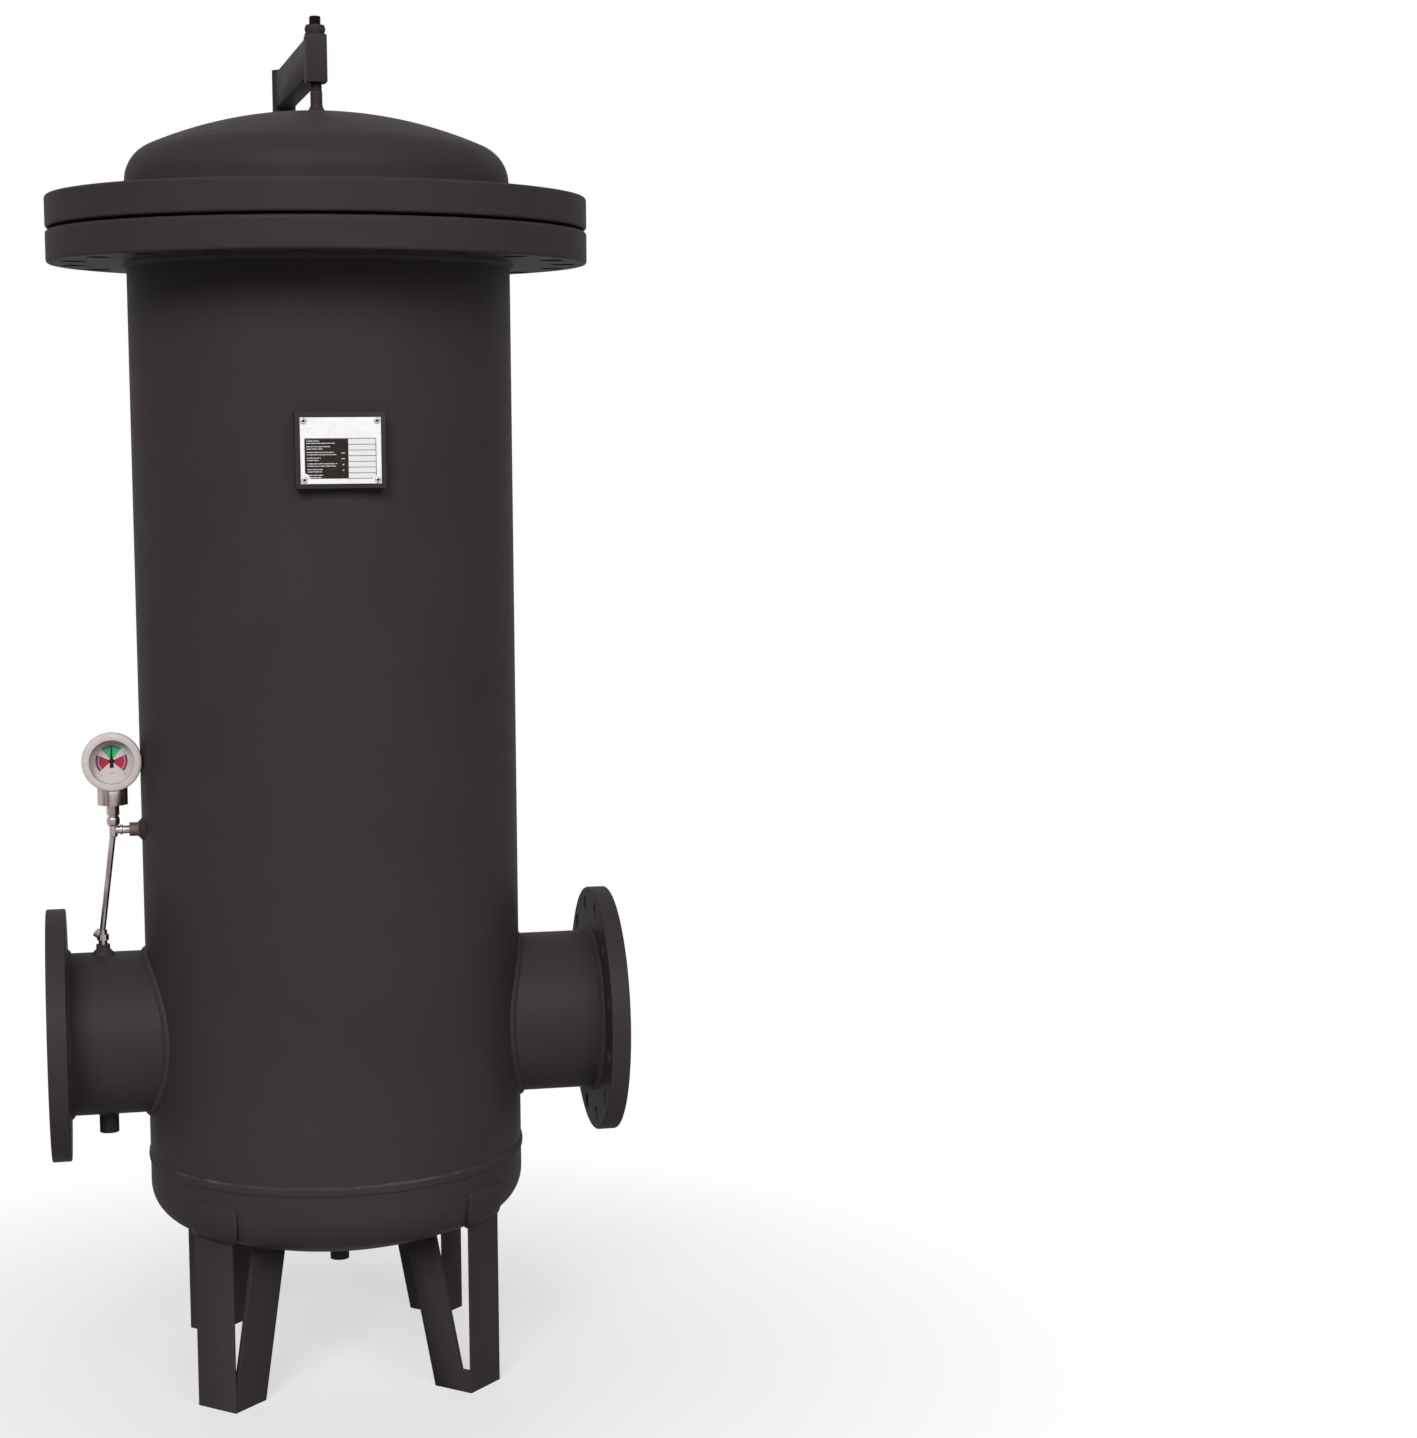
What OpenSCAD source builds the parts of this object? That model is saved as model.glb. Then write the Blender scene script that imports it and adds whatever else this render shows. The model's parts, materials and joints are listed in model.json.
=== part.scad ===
// Bag filter housing: welded vessel on four legs with a flanged, davit-lifted cover.
// Millimetres, +Z up, floor at z = 0, nozzles along X, front of the vessel towards -Y.

/* [Vessel] */
// Outside diameter of the shell and of both heads
shell_od = 508; // [480:1:540]
// Wall of the shell and of the heads
shell_t = 8; // [5:0.5:12]
// Height of the seam between the shell and the bottom head
seam_z = 315.7; // [300:0.1:340]
// Straight skirt of the bottom head, from the seam down to its knuckle
skirt_bottom = 37.9; // [20:0.1:50]
// Knuckle radius of the dished heads
knuckle_r = 50.8; // [40:0.1:60]
// Crown radius of the dished heads
crown_r = 560; // [500:1:620]
// Height of a weld bead above the plate
bead_h = 2; // [1:0.1:3]
// Width of the seam bead
bead_w = 9; // [6:0.5:14]
// Leg of the fillet welds on the flanges and branches
fillet = 7; // [4:0.5:9]
// How far a branch weld stands off the shell
branch_rise = 4; // [2:0.5:7]

/* [Cover flanges] */
// Outside diameter of the cover flange pair
cover_od = 715; // [690:1:740]
// Thickness of each cover flange
cover_t = 42; // [34:0.5:50]
// Underside of the body flange
body_flange_z = 1517.5; // [1450:0.5:1560]
// Bolt circle of the cover
cover_pcd = 650; // [630:1:660]
// Number of cover bolt holes
cover_holes = 20; // [12:4:24]
// Diameter of the cover bolt holes
cover_hole_d = 33; // [26:1:36]
// Rounding of the flange rims
rim_r = 4; // [2:0.5:6]
// Thickness of the cover gasket
gasket_t = 3.3; // [2:0.1:5]
// Outside diameter of the cover gasket
gasket_od = 612; // [580:1:615]
// Straight skirt of the cover head above its flange
skirt_top = 20; // [8:0.5:30]
// Leg of the fillet weld on top of the cover flange
cover_fillet = 5; // [3:0.5:8]
// How far the cover head stops short of the cover flange's face
weld_step = 6; // [4:0.5:8]

/* [Nozzles] */
// Height of the nozzle axis
nozzle_z = 486.5; // [470:0.5:520]
// Distance between the two nozzle faces
face_to_face = 768; // [740:1:800]
// Outside diameter of the nozzle pipes
pipe_od = 219.1; // [200:0.1:222]
// Wall of the nozzle pipes
pipe_t = 6.3; // [4:0.1:9]
// How far a nozzle pipe stands inside the shell
nozzle_in = 14; // [8:0.5:20]
// How far a nozzle pipe stops short of its flange's face
pipe_back = 6; // [3:0.5:8]
// Outside diameter of the nozzle flanges
nozzle_flange_od = 340; // [330:1:350]
// Thickness of the nozzle flanges
nozzle_flange_t = 26; // [20:0.5:32]
// Bolt circle of the nozzle flanges
nozzle_pcd = 295; // [285:1:300]
// Number of bolt holes in a nozzle flange
nozzle_holes = 12; // [8:4:16]
// Diameter of the nozzle bolt holes
nozzle_hole_d = 22; // [18:0.5:24]

/* [Legs] */
// How far a front leg's fold stands inside the shell's side, along X
leg_in = 96.5; // [92:0.5:104]
// How far a rear leg's fold stands inside the shell's side, along X
rear_leg_in = 88; // [84:0.5:96]
// How far each leg's fold stands inside the shell's front or back, along Y
leg_in_y = 85; // [82:0.5:94]
// Turn of the set of legs round the vessel axis, in degrees
leg_turn = 0.85; // [0:0.05:3]
// Plate thickness of the legs
leg_t = 6; // [5:0.5:10]
// Width of the upright strip of a front leg
upright_w = 65; // [50:0.5:75]
// Width of the upright strip of a rear leg
rear_upright_w = 46; // [40:0.5:75]
// Width of the slanting strip of a leg at the floor
slant_w = 61; // [50:0.5:70]
// Lean of the slanting strip from upright, in degrees
slant_deg = 13; // [8:0.5:18]
// Width of the window at its foot, on the front left leg
window_left = 3.5; // [3:0.5:20]
// Width of the window at its foot, on the front right leg
window_right = 17.5; // [3:0.5:20]
// Width of the window at its foot, on the rear legs
window_rear = 10; // [3:0.5:20]
// Height of the solid foot under the windows
foot_h = 30; // [20:1:50]
// Thickness of the web left at the fold beside a window
fold_edge = 2.5; // [1.5:0.5:5]
// Height of the top of the lap that is welded on the knuckle
lap_top_z = 286; // [276:0.5:296]
// Thickness of that lap over the head
lap_t = 5; // [3:0.5:8]
// Lower end of that lap
lap_foot_z = 232; // [220:1:245]
// How far the lap starts inside the fold, along X
lap_in = 4; // [0:0.5:8]
// Width of the lap, along X
lap_w = 50; // [40:0.5:54]
// Rounding of the lap's inner top corner
lap_round = 5; // [2:0.5:10]

/* [Davit] */
// Gap between the column and the rims of the cover flanges
davit_gap = 25.6; // [12:0.2:50]
// Bearing of the column from the back centre line, in degrees
davit_turn = 2.2; // [0:0.1:6]
// Diameter of the column
column_d = 33.7; // [28:0.1:40]
// Top of the column
column_top_z = 1821; // [1810:1:1850]
// Outside diameter of the socket that the column turns in
socket_od = 48.3; // [46:0.1:56]
// Lower end of the socket
socket_z = 1395; // [1340:1:1420]
// Length of the socket
socket_len = 150; // [120:1:170]
// Thickness of the socket's closed lower end
socket_floor = 8; // [4:0.5:12]
// How far the collar stands out past the socket
collar_step = 1; // [0.5:0.5:3]
// Height of the collar that carries the column
collar_h = 8; // [6:0.5:14]
// Thickness of the two ribs that tie the socket to the shell
rib_t = 10; // [6:0.5:14]
// Half width of those ribs at the shell
rib_root = 45; // [30:1:60]
// Height of the lower rib above the socket's lower end
rib_low = 6; // [2:1:20]
// Height of the arm's box section
arm_h = 50; // [40:1:56]
// Width of the arm's box section
arm_w = 25; // [18:0.5:27]
// Wall of the arm's box section
arm_wall = 3; // [2:0.5:5]
// Width of the block at the arm's free end
block_w = 27.5; // [26:0.5:36]
// Height of that block
block_h = 62; // [52:1:66]
// Length of that block along the arm
block_d = 30; // [26:0.5:40]
// Height of the arm's underside above the block's
arm_rise = 9; // [4:0.5:12]
// Underside of that block
block_z = 1757; // [1750:1:1762]
// Diameter of the threaded lifting rod
rod_d = 16; // [12:0.5:18]
// Top of the lifting rod
rod_top_z = 1844; // [1840:1:1870]
// Height of the flared weld at the foot of the rod
rod_flare = 6; // [3:0.5:10]
// Size of the lifting nut across its flats
nut_af = 24; // [21:0.5:27]
// Height of the lifting nut
nut_h = 11; // [8:0.5:14]
// Thickness of the washer under the nut
washer_t = 2; // [1:0.5:3]
// Outside radius of that washer
washer_r = 14; // [12:0.5:15]

/* [Inside] */
// Top face of the basket plate
plate_z = 1400; // [1380:1:1440]
// Thickness of the basket plate
plate_t = 12; // [8:0.5:16]
// Thickness of the gasket under the basket plate
plate_gasket_t = 3; // [2:0.5:5]
// Bearing of each basket from the outlet side, in degrees
basket_bearing = 60; // [58:0.5:62]
// Gap between the riser and the inside of the shell
riser_gap = 15.45; // [14.5:0.05:18]
// Length of a basket below the plate
basket_len = 780; // [600:10:785]
// Wall of a basket
basket_t = 2; // [1.5:0.1:3]
// Bevel at the foot of a basket
basket_bevel = 6; // [4:0.5:10]
// Gap between the riser and the rim that hangs a basket on the plate
rim_gap = 2; // [1.5:0.5:8]
// Width of that rim outside the basket
rim_w = 6; // [4:0.5:9]
// Thickness of that rim
rim_t = 3; // [2:0.5:5]
// Diameter of the basket's perforations
perf_d = 24; // [16:1:28]
// Perforations round a basket
perf_round = 10; // [6:1:12]
// Rows of perforations
perf_rows = 6; // [3:1:8]
// Distance of the first row below the plate, and of the last above the foot
perf_top = 60; // [40:1:90]
// Wall of a filter bag
bag_t = 2.5; // [1.5:0.1:4]
// Rounding of the foot of a bag
bag_round = 30; // [15:1:45]
// Height of the ring at the top of a bag
bag_ring_h = 10; // [6:0.5:14]
// Width of the ring seat that carries the basket plate
seat_w = 14; // [10:0.5:20]
// Thickness of that ring seat
seat_t = 12; // [8:0.5:16]
// How far the riser stands above the basket plate
riser_stand = 8; // [3:0.5:15]
// Width of the hold-down bar
bar_w = 30; // [24:1:40]
// Thickness of the hold-down bar
bar_t = 10; // [6:0.5:14]
// Diameter of the stud through that bar
stud_d = 10; // [8:1:14]

/* [Gauge] */
// Outside diameter of the gauge bezel
bezel_od = 78.5; // [70:0.5:79]
// Distance of the gauge in front of the nozzle line
gauge_y = 26; // [16:0.5:30]
// Gap between the bezel and the shell
gauge_gap = 0.5; // [0.3:0.1:6]
// Height of the dial centre above the branch line
gauge_rise = 93.3; // [88:0.1:120]
// Depth of the gauge case
case_depth = 34; // [28:0.5:40]
// Overlap of the bezel over the case, all round
bezel_lip = 2.5; // [1.5:0.5:4]
// Length of the bezel's skirt over the case
bezel_skirt = 9; // [5:0.5:14]
// Depth of the dial plate's back in the case
dial_depth = 20; // [12:0.5:24]
// Thickness of the dial plate
dial_t = 1; // [0.5:0.1:2]
// Thickness of the lens
lens_t = 2.5; // [1.5:0.5:4]
// Diameter of the window inside the bezel's lip
window_d = 57; // [50:0.5:62]
// Radius of the pointer's spindle
spindle_r = 1.5; // [1:0.1:2]
// Diameter of the base block below the case
base_d = 40; // [34:0.5:44]
// Height of the base block
base_h = 24; // [18:0.5:28]
// Height of the branch line to the shell
branch_z = 767.7; // [740:0.1:800]
// Radius of the ball of the tee under the gauge
tee_r = 8.5; // [7.5:0.1:10]
// Length of the tee's arm towards the shell
tee_arm = 12; // [9:0.5:14]
// Length of the socket on the shell
branch_socket_len = 18; // [12:0.5:22]
// Length of the socket on the inlet pipe
foot_socket_len = 13; // [9:0.5:20]
// Diameter of the impulse tube
tube_d = 8; // [6:0.5:10]
// Distance from the vessel axis to the lower end of the impulse tube, along X
tube_foot_x = 309.5; // [300:0.5:312]
// Distance of that end in front of the nozzle line
tube_foot_y = 4; // [0:0.5:20]

/* [Nameplate] */
// Width of the nameplate
name_w = 101; // [90:1:110]
// Height of the nameplate
name_h = 83; // [70:1:90]
// Height of its centre
name_z = 1273; // [1200:1:1300]
// Width that the bracket shows beside and above the plate
name_margin = 6; // [3:0.5:8]
// Distance of the bracket's face in front of the shell
name_stand = 16; // [10:1:24]
// Thickness of the bracket's sheet
sheet_t = 2; // [1:0.5:4]
// Thickness of the nameplate
plate_sheet = 1.2; // [0.8:0.1:2]
// Diameter of the nameplate's rivets
rivet_d = 5.2; // [4:0.1:6]
// Distance of a rivet from the plate's edges
rivet_in = 4.5; // [4:0.1:8]

/* [Drains and sockets] */
// Diameter of the drain sockets
drain_d = 26; // [22:0.5:32]
// Bore of the drain sockets
drain_bore = 15; // [12:0.5:18]
// How far the bottom drain socket stands below the head
bottom_drain_len = 34; // [8:0.5:44]
// How far the inlet drain socket stands below the pipe
inlet_drain_len = 27; // [12:0.5:40]
// Distance from the vessel axis to the inlet drain, along X
inlet_drain_x = 308; // [300:0.5:315]
// Leg of the weld at the root of a drain socket
drain_weld = 4; // [2:0.5:7]
// Length of the plugs in the drain sockets
plug_len = 9; // [7:0.5:14]
// Size of the hexagon in a plug, across its corners
plug_hex = 8; // [6:0.5:10]
// Diameter of the two gauge sockets
socket_d = 18.5; // [16:0.5:22]
// Leg of the weld at the root of a gauge socket
socket_weld = 7; // [4:0.5:9]
// Bore of the sensing lines
sense_d = 5; // [3:0.5:6]

/* [Clearances] */
// Gap between parts that move on each other
play = 0.3; // [0.2:0.05:0.5]
// Gap round a turning column, rod or spindle
bore_play = 0.1; // [0.05:0.01:0.2]
// Gap between a bag and its basket
bag_clear = 1; // [0.5:0.1:3]
// Gap between the basket plate and the shell
plate_clear = 3; // [1:0.5:5]

/* [Hidden] */
$fn = 96;

// Colours
paint = [0.24, 0.21, 0.21];
steel = [0.72, 0.71, 0.69];
stainless = [0.78, 0.78, 0.77];
black = [0.06, 0.06, 0.06];
felt = [0.92, 0.91, 0.86];
gasket_grey = [0.35, 0.36, 0.36];
white = [0.95, 0.95, 0.92];
clear = [0.8, 0.9, 0.95, 0.35];

// Radii and heights worked out from the driving sizes
shell_r = shell_od / 2;
shell_ri = shell_r - shell_t;
pipe_r = pipe_od / 2;
pipe_ri = pipe_r - pipe_t;
nozzle_face = face_to_face / 2;
leg_x = shell_r - leg_in;
rear_leg_x = shell_r - rear_leg_in;
leg_y = shell_r - leg_in_y;
// The riser and the two baskets stand round the vessel axis, and the baskets fill the room beside the riser
pitch_r = shell_ri - pipe_r - riser_gap;
rim_od = 2 * (2 * pitch_r * cos(basket_bearing / 2) - pipe_r - rim_gap);
basket_od = rim_od - 2 * rim_w;
bottom_tangent_z = seam_z - skirt_bottom;
head_h = crown_r - sqrt(pow(crown_r - knuckle_r, 2) - pow(shell_r - knuckle_r, 2));
body_face_z = body_flange_z + cover_t;
gasket_top_z = body_face_z + gasket_t;
cover_z = gasket_top_z + play;
cover_top_z = cover_z + cover_t;
top_tangent_z = cover_top_z + skirt_top;
crown_z = top_tangent_z + head_h;
column_r = column_d / 2;
davit_r = cover_od / 2 + davit_gap + column_r;
socket_r = socket_od / 2;
collar_r = socket_r + collar_step;
arm_z = block_z + arm_rise;
block_top_z = block_z + block_h;
nut_z = block_top_z + washer_t;
// The vessel axis is moved so that the origin is the middle of the footprint
vessel_y = (cover_od / 2 - davit_r * cos(davit_turn) - collar_r) / 2;
root = 12;
// A mitre that turns a pipe through a right angle
mitre = 45;
head_low_z = bottom_tangent_z - head_h;
seat_top_z = plate_z - plate_t - plate_gasket_t;
plate_r = shell_ri - plate_clear;
clamp_x = pitch_r * cos(basket_bearing);
clamp_y = pitch_r * sin(basket_bearing);
bar_z = plate_z + rim_t + bag_ring_h;
case_r = bezel_od / 2 - bezel_lip;
gauge_z = branch_z + gauge_rise;
// The gauge stands just clear of the shell at the back of its bezel
bezel_back_y = gauge_y + case_depth / 2 - bezel_skirt;
gauge_x = sqrt(shell_r * shell_r - bezel_back_y * bezel_back_y) + bezel_od / 2 + gauge_gap;
base_top_z = gauge_z - case_r + 2;
// Surface of the shell beside the gauge, and of the inlet pipe under the tube's foot
shell_side_x = sqrt(shell_r * shell_r - gauge_y * gauge_y);
pipe_top_z = nozzle_z + sqrt(pipe_r * pipe_r - tube_foot_y * tube_foot_y);
tee_top_z = branch_z + 14;
tube_foot_z = pipe_top_z + foot_socket_len + 20;

// Places a child on the vessel axis
module on_axis() {
  translate([0, vessel_y, 0]) children();
}

// Turns a child to the davit's bearing round the vessel axis
module at_davit() {
  on_axis() rotate([0, 0, davit_turn]) children();
}

// Points of an arc from angle a0 to a1
function arc(c, r, a0, a1, n) = [for (i = [0 : n]) let (a = a0 + (a1 - a0) * i / n)
  [c[0] + r * cos(a), c[1] + r * sin(a)]];

// Ring with rounded outer rims, its underside at z
module flange_ring(ro, ri, z, t, rr) {
  rotate_extrude($fn = 128)
    polygon(concat(
      [[ri, z]],
      arc([ro - rr, z + rr], rr, -90, 0, 4),
      arc([ro - rr, z + t - rr], rr, 0, 90, 4),
      [[ri, z + t]]));
}

// Drills count holes on a circle, with the first hole half a pitch from the centre line
module hole_circle(pcd, d, count, len) {
  for (i = [0 : count - 1])
    rotate([0, 0, (i + 0.5) * 360 / count])
      translate([pcd / 2, 0, -len / 2]) cylinder(d = d, h = len, $fn = 32);
}

// Plain ring between two radii
module ring(ro, ri, z, h) {
  difference() {
    translate([0, 0, z]) cylinder(r = ro, h = h);
    translate([0, 0, z - 1]) cylinder(r = ri, h = h + 2);
  }
}

// Outline of a dished head's surface, from its rim to its crown; grow moves it outwards
function dish(grow) =
  let (c_k = [shell_r - knuckle_r, 0],
       c_c = [0, head_h - crown_r],
       a = atan2(c_k[1] - c_c[1], c_k[0] - c_c[0]))
  concat(arc(c_k, knuckle_r + grow, 0, a, 10), arc(c_c, crown_r + grow, a, 90, 16));

function reversed(v) = [for (i = [len(v) - 1 : -1 : 0]) v[i]];

// Dished head as a shell of revolution, rim down, with a straight skirt
module dished_head(skirt) {
  rotate_extrude($fn = 128)
    polygon(concat([[shell_ri, -skirt], [shell_r, -skirt]], dish(0), reversed(dish(-shell_t))));
}

// Solid inside a dished head's surface, for cutting what meets it
module dished_core(skirt, grow) {
  rotate_extrude($fn = 128)
    polygon(concat([[0, -skirt], [shell_r + grow, -skirt]], dish(grow)));
}

// Points a child along -X or +X at the nozzle height; side is -1 or 1
module at_nozzle(side) {
  on_axis() translate([0, 0, nozzle_z]) rotate([0, side * 90, 0]) children();
}

// Body of the vessel
module shell() {
  color(paint) difference() {
    on_axis() ring(shell_r, shell_ri, seam_z, body_face_z - seam_z);
    for (side = [-1, 1]) at_nozzle(side) cylinder(r = pipe_r, h = shell_r + 20);
    shell_tap();
  }
}

module bottom_head() {
  color(paint) difference() {
    on_axis() translate([0, 0, bottom_tangent_z]) mirror([0, 0, 1]) dished_head(skirt_bottom);
    on_axis() cylinder(d = drain_bore, h = seam_z, $fn = 32);
  }
}

// The shell's outside as a solid, for cutting what stands on it
module shell_core() {
  on_axis() translate([0, 0, seam_z]) cylinder(r = shell_r, h = body_face_z - seam_z);
}

// Half-round weld bead on the outside of the shell
module bead(z, w) {
  rotate_extrude($fn = 128)
    polygon(concat([[shell_r, z - w / 2]], arc([shell_r, z], bead_h, -60, 60, 4), [[shell_r, z + w / 2]]));
}

module bottom_seam_weld() {
  color(paint) on_axis() bead(seam_z, bead_w);
}

module body_flange() {
  color(paint) on_axis() difference() {
    flange_ring(cover_od / 2, shell_r, body_flange_z, cover_t, rim_r);
    translate([0, 0, body_flange_z]) hole_circle(cover_pcd, cover_hole_d, cover_holes, 4 * cover_t);
  }
}

// Triangular fillet weld round a tube of radius r, standing on the plane z and rising up
module fillet_ring(r, z, s) {
  rotate_extrude($fn = 96)
    polygon([[r, z], [r + s, z], [r + s * 0.42, z + s * 0.42], [r, z + s]]);
}

module body_flange_weld() {
  color(paint) on_axis() translate([0, 0, body_flange_z]) mirror([0, 0, 1]) fillet_ring(shell_r, 0, fillet);
}

// Nozzle pipe from inside the shell to just behind the flange face
module nozzle_pipe(side) {
  color(paint) difference() {
    at_nozzle(side) ring(pipe_r, pipe_ri, shell_ri - nozzle_in, nozzle_face - pipe_back - shell_ri + nozzle_in);
    if (side < 0) inlet_taps();
  }
}

module inlet_pipe() {
  nozzle_pipe(-1);
}

module outlet_pipe() {
  nozzle_pipe(1);
}

module nozzle_flange(side) {
  color(paint) at_nozzle(side) difference() {
    flange_ring(nozzle_flange_od / 2, pipe_r, nozzle_face - nozzle_flange_t, nozzle_flange_t, 2.5);
    translate([0, 0, nozzle_face]) hole_circle(nozzle_pcd, nozzle_hole_d, nozzle_holes, 4 * nozzle_flange_t);
  }
}

module inlet_flange() {
  nozzle_flange(-1);
}

module outlet_flange() {
  nozzle_flange(1);
}

// Welds of a nozzle: at the back of its flange, inside its face, and round the branch on the shell
module nozzle_welds(side) {
  color(paint) {
    at_nozzle(side) translate([0, 0, nozzle_face - nozzle_flange_t]) mirror([0, 0, 1])
      fillet_ring(pipe_r, 0, fillet);
    difference() {
      intersection() {
        at_nozzle(side) cylinder(r = pipe_r + fillet, h = shell_r + 20);
        on_axis() translate([0, 0, nozzle_z - pipe_r - 20])
          cylinder(r = shell_r + branch_rise, h = 2 * pipe_r + 40);
      }
      shell_core();
      at_nozzle(side) cylinder(r = pipe_r, h = shell_r + 30);
    }
  }
}

module inlet_welds() {
  nozzle_welds(-1);
}

module outlet_welds() {
  nozzle_welds(1);
}

// Leg with its fold at the origin: the upright strip runs along +X, the slanting strip along +Y
module leg_plate(up_w, window_w) {
  top = bottom_tangent_z + 10;
  lean = tan(slant_deg);
  difference() {
    union() {
      cube([up_w, leg_t, top]);
      rotate([90, 0, 90]) linear_extrude(leg_t)
        polygon([[0, 0], [slant_w, 0], [slant_w + lean * top, top], [0, top]]);
    }
    // the window between the upright and the slanting strip
    translate([-1, 0, 0]) rotate([90, 0, 90]) linear_extrude(leg_t + 1)
      polygon([[fold_edge, foot_h], [window_w, foot_h],
        [window_w + lean * (top + 5 - foot_h), top + 5], [fold_edge, top + 5]]);
  }
}

// Outer surface of the bottom head with the shell above it, as a solid grown by some millimetres
module bottom_core(grow) {
  translate([0, 0, bottom_tangent_z]) mirror([0, 0, 1]) dished_core(skirt_bottom, grow);
}

// A leg stands at the corner (sx, sy); its fold faces the front on all four
module leg(sx, sy, fold_x, up_w, window_w) {
  color(paint) on_axis() rotate([0, 0, leg_turn]) difference() {
    translate([sx * fold_x, sy * leg_y, 0]) mirror([sx < 0 ? 0 : 1, 0, 0]) rotate([0, 0, 135])
      mirror([0, 1, 0]) leg_plate(up_w, window_w);
    bottom_core(0);
  }
}

// Lap of a front leg's upright strip, shaped to the knuckle of the head
module leg_lap(sx) {
  color(paint) on_axis() rotate([0, 0, leg_turn]) intersection() {
    difference() {
      bottom_core(lap_t);
      bottom_core(0);
    }
    mirror([sx < 0 ? 1 : 0, 0, 0]) translate([leg_x - lap_in, 0, 0]) rotate([90, 0, 0])
      linear_extrude(shell_od) polygon(concat(
        [[0, lap_foot_z], [lap_w, lap_foot_z], [lap_w, lap_top_z]],
        arc([lap_round, lap_top_z - lap_round], lap_round, 90, 180, 4)));
  }
}

module leg_front_left() {
  leg(-1, -1, leg_x, upright_w, window_left);
  leg_lap(-1);
}

module leg_front_right() {
  leg(1, -1, leg_x, upright_w, window_right);
  leg_lap(1);
}

module leg_rear_left() {
  leg(-1, 1, rear_leg_x, rear_upright_w, window_rear);
}

module leg_rear_right() {
  leg(1, 1, rear_leg_x, rear_upright_w, window_rear);
}

// Threaded half coupling along +Z with a cone of weld at its root, root at the origin
module coupling(d, bore, len, weld) {
  difference() {
    union() {
      translate([0, 0, -root]) cylinder(d = d, h = len + root, $fn = 48);
      translate([0, 0, -root]) cylinder(d = d + 2 * weld, h = root, $fn = 48);
      cylinder(d1 = d + 2 * weld, d2 = d, h = weld, $fn = 48);
    }
    translate([0, 0, -root - 1]) cylinder(d = bore, h = len + root + 2, $fn = 32);
  }
}

module at_bottom_drain() {
  on_axis() translate([0, 0, head_low_z]) mirror([0, 0, 1]) children();
}

module at_inlet_drain() {
  on_axis() translate([-inlet_drain_x, 0, nozzle_z - pipe_r]) mirror([0, 0, 1]) children();
}

module bottom_drain_socket() {
  color(paint) difference() {
    at_bottom_drain() coupling(drain_d, drain_bore, bottom_drain_len, drain_weld);
    on_axis() bottom_core(0);
  }
}

module inlet_drain_socket() {
  color(paint) difference() {
    at_inlet_drain() coupling(drain_d, drain_bore, inlet_drain_len, drain_weld);
    at_nozzle(-1) cylinder(r = pipe_r, h = nozzle_face);
  }
}

// Screwed plug with a hexagon socket, its head face down at the coupling's mouth
module plug(len) {
  difference() {
    translate([0, 0, len - plug_len - 1]) cylinder(d = drain_bore - 2 * bore_play, h = plug_len, $fn = 32);
    translate([0, 0, len - 6]) cylinder(d = plug_hex, h = 6, $fn = 6);
  }
}

module drain_plugs() {
  color(steel) {
    at_bottom_drain() plug(bottom_drain_len);
    at_inlet_drain() plug(inlet_drain_len);
  }
}

// The gauge stands in front of the nozzle line
module at_gauge() {
  on_axis() translate([-gauge_x, -gauge_y, 0]) children();
}

// Bores through the inlet pipe for its drain and for the impulse tube
module inlet_taps() {
  at_inlet_drain() translate([0, 0, -20]) cylinder(d = drain_bore, h = 40, $fn = 32);
  on_axis() translate([-tube_foot_x, -tube_foot_y, nozzle_z]) cylinder(d = sense_d, h = pipe_r + 20, $fn = 32);
}

// Bore through the shell for the gauge's branch
module shell_tap() {
  on_axis() translate([-shell_r - 20, -gauge_y, branch_z]) rotate([0, 90, 0])
    cylinder(d = sense_d, h = 60, $fn = 32);
}

module shell_gauge_socket() {
  color(paint) difference() {
    on_axis() translate([-shell_side_x, -gauge_y, branch_z]) rotate([0, -90, 0])
      coupling(socket_d, sense_d, branch_socket_len, socket_weld);
    shell_core();
  }
}

module nozzle_gauge_socket() {
  color(paint) difference() {
    on_axis() translate([-tube_foot_x, -tube_foot_y, pipe_top_z])
      coupling(socket_d, sense_d, foot_socket_len, socket_weld);
    at_nozzle(-1) cylinder(r = pipe_r, h = nozzle_face);
  }
}

// Folded sheet box that holds the nameplate off the shell
module nameplate_bracket() {
  w = name_w + 2 * name_margin;
  h = name_h + 2 * name_margin;
  color(paint) difference() {
    on_axis() translate([-w / 2, -shell_r - name_stand, name_z - h / 2]) difference() {
      cube([w, name_stand + 8, h]);
      translate([sheet_t, sheet_t, -1]) cube([w - 2 * sheet_t, name_stand + 20, h + 2]);
    }
    shell_core();
  }
}

module nameplate() {
  color(steel) on_axis()
    translate([-name_w / 2, -shell_r - name_stand - plate_sheet, name_z - name_h / 2])
    cube([name_w, plate_sheet, name_h]);
}

module nameplate_rivets() {
  front_y = -shell_r - name_stand - plate_sheet;
  color(steel) on_axis() for (sx = [-1, 1], sz = [-1, 1])
    translate([sx * (name_w / 2 - rivet_in), front_y, name_z + sz * (name_h / 2 - rivet_in)])
      rotate([90, 0, 0]) cylinder(d1 = rivet_d, d2 = rivet_d - 1.8, h = 1.4, $fn = 24);
}

// Davit at the back: a round column turns in a socket that two ribs tie to the shell
module davit_socket() {
  color(paint) at_davit() translate([0, davit_r, 0]) {
    ring(socket_r, column_r + bore_play, socket_z, socket_len);
    translate([0, 0, socket_z - socket_floor]) cylinder(r = socket_r, h = socket_floor);
  }
}

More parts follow.
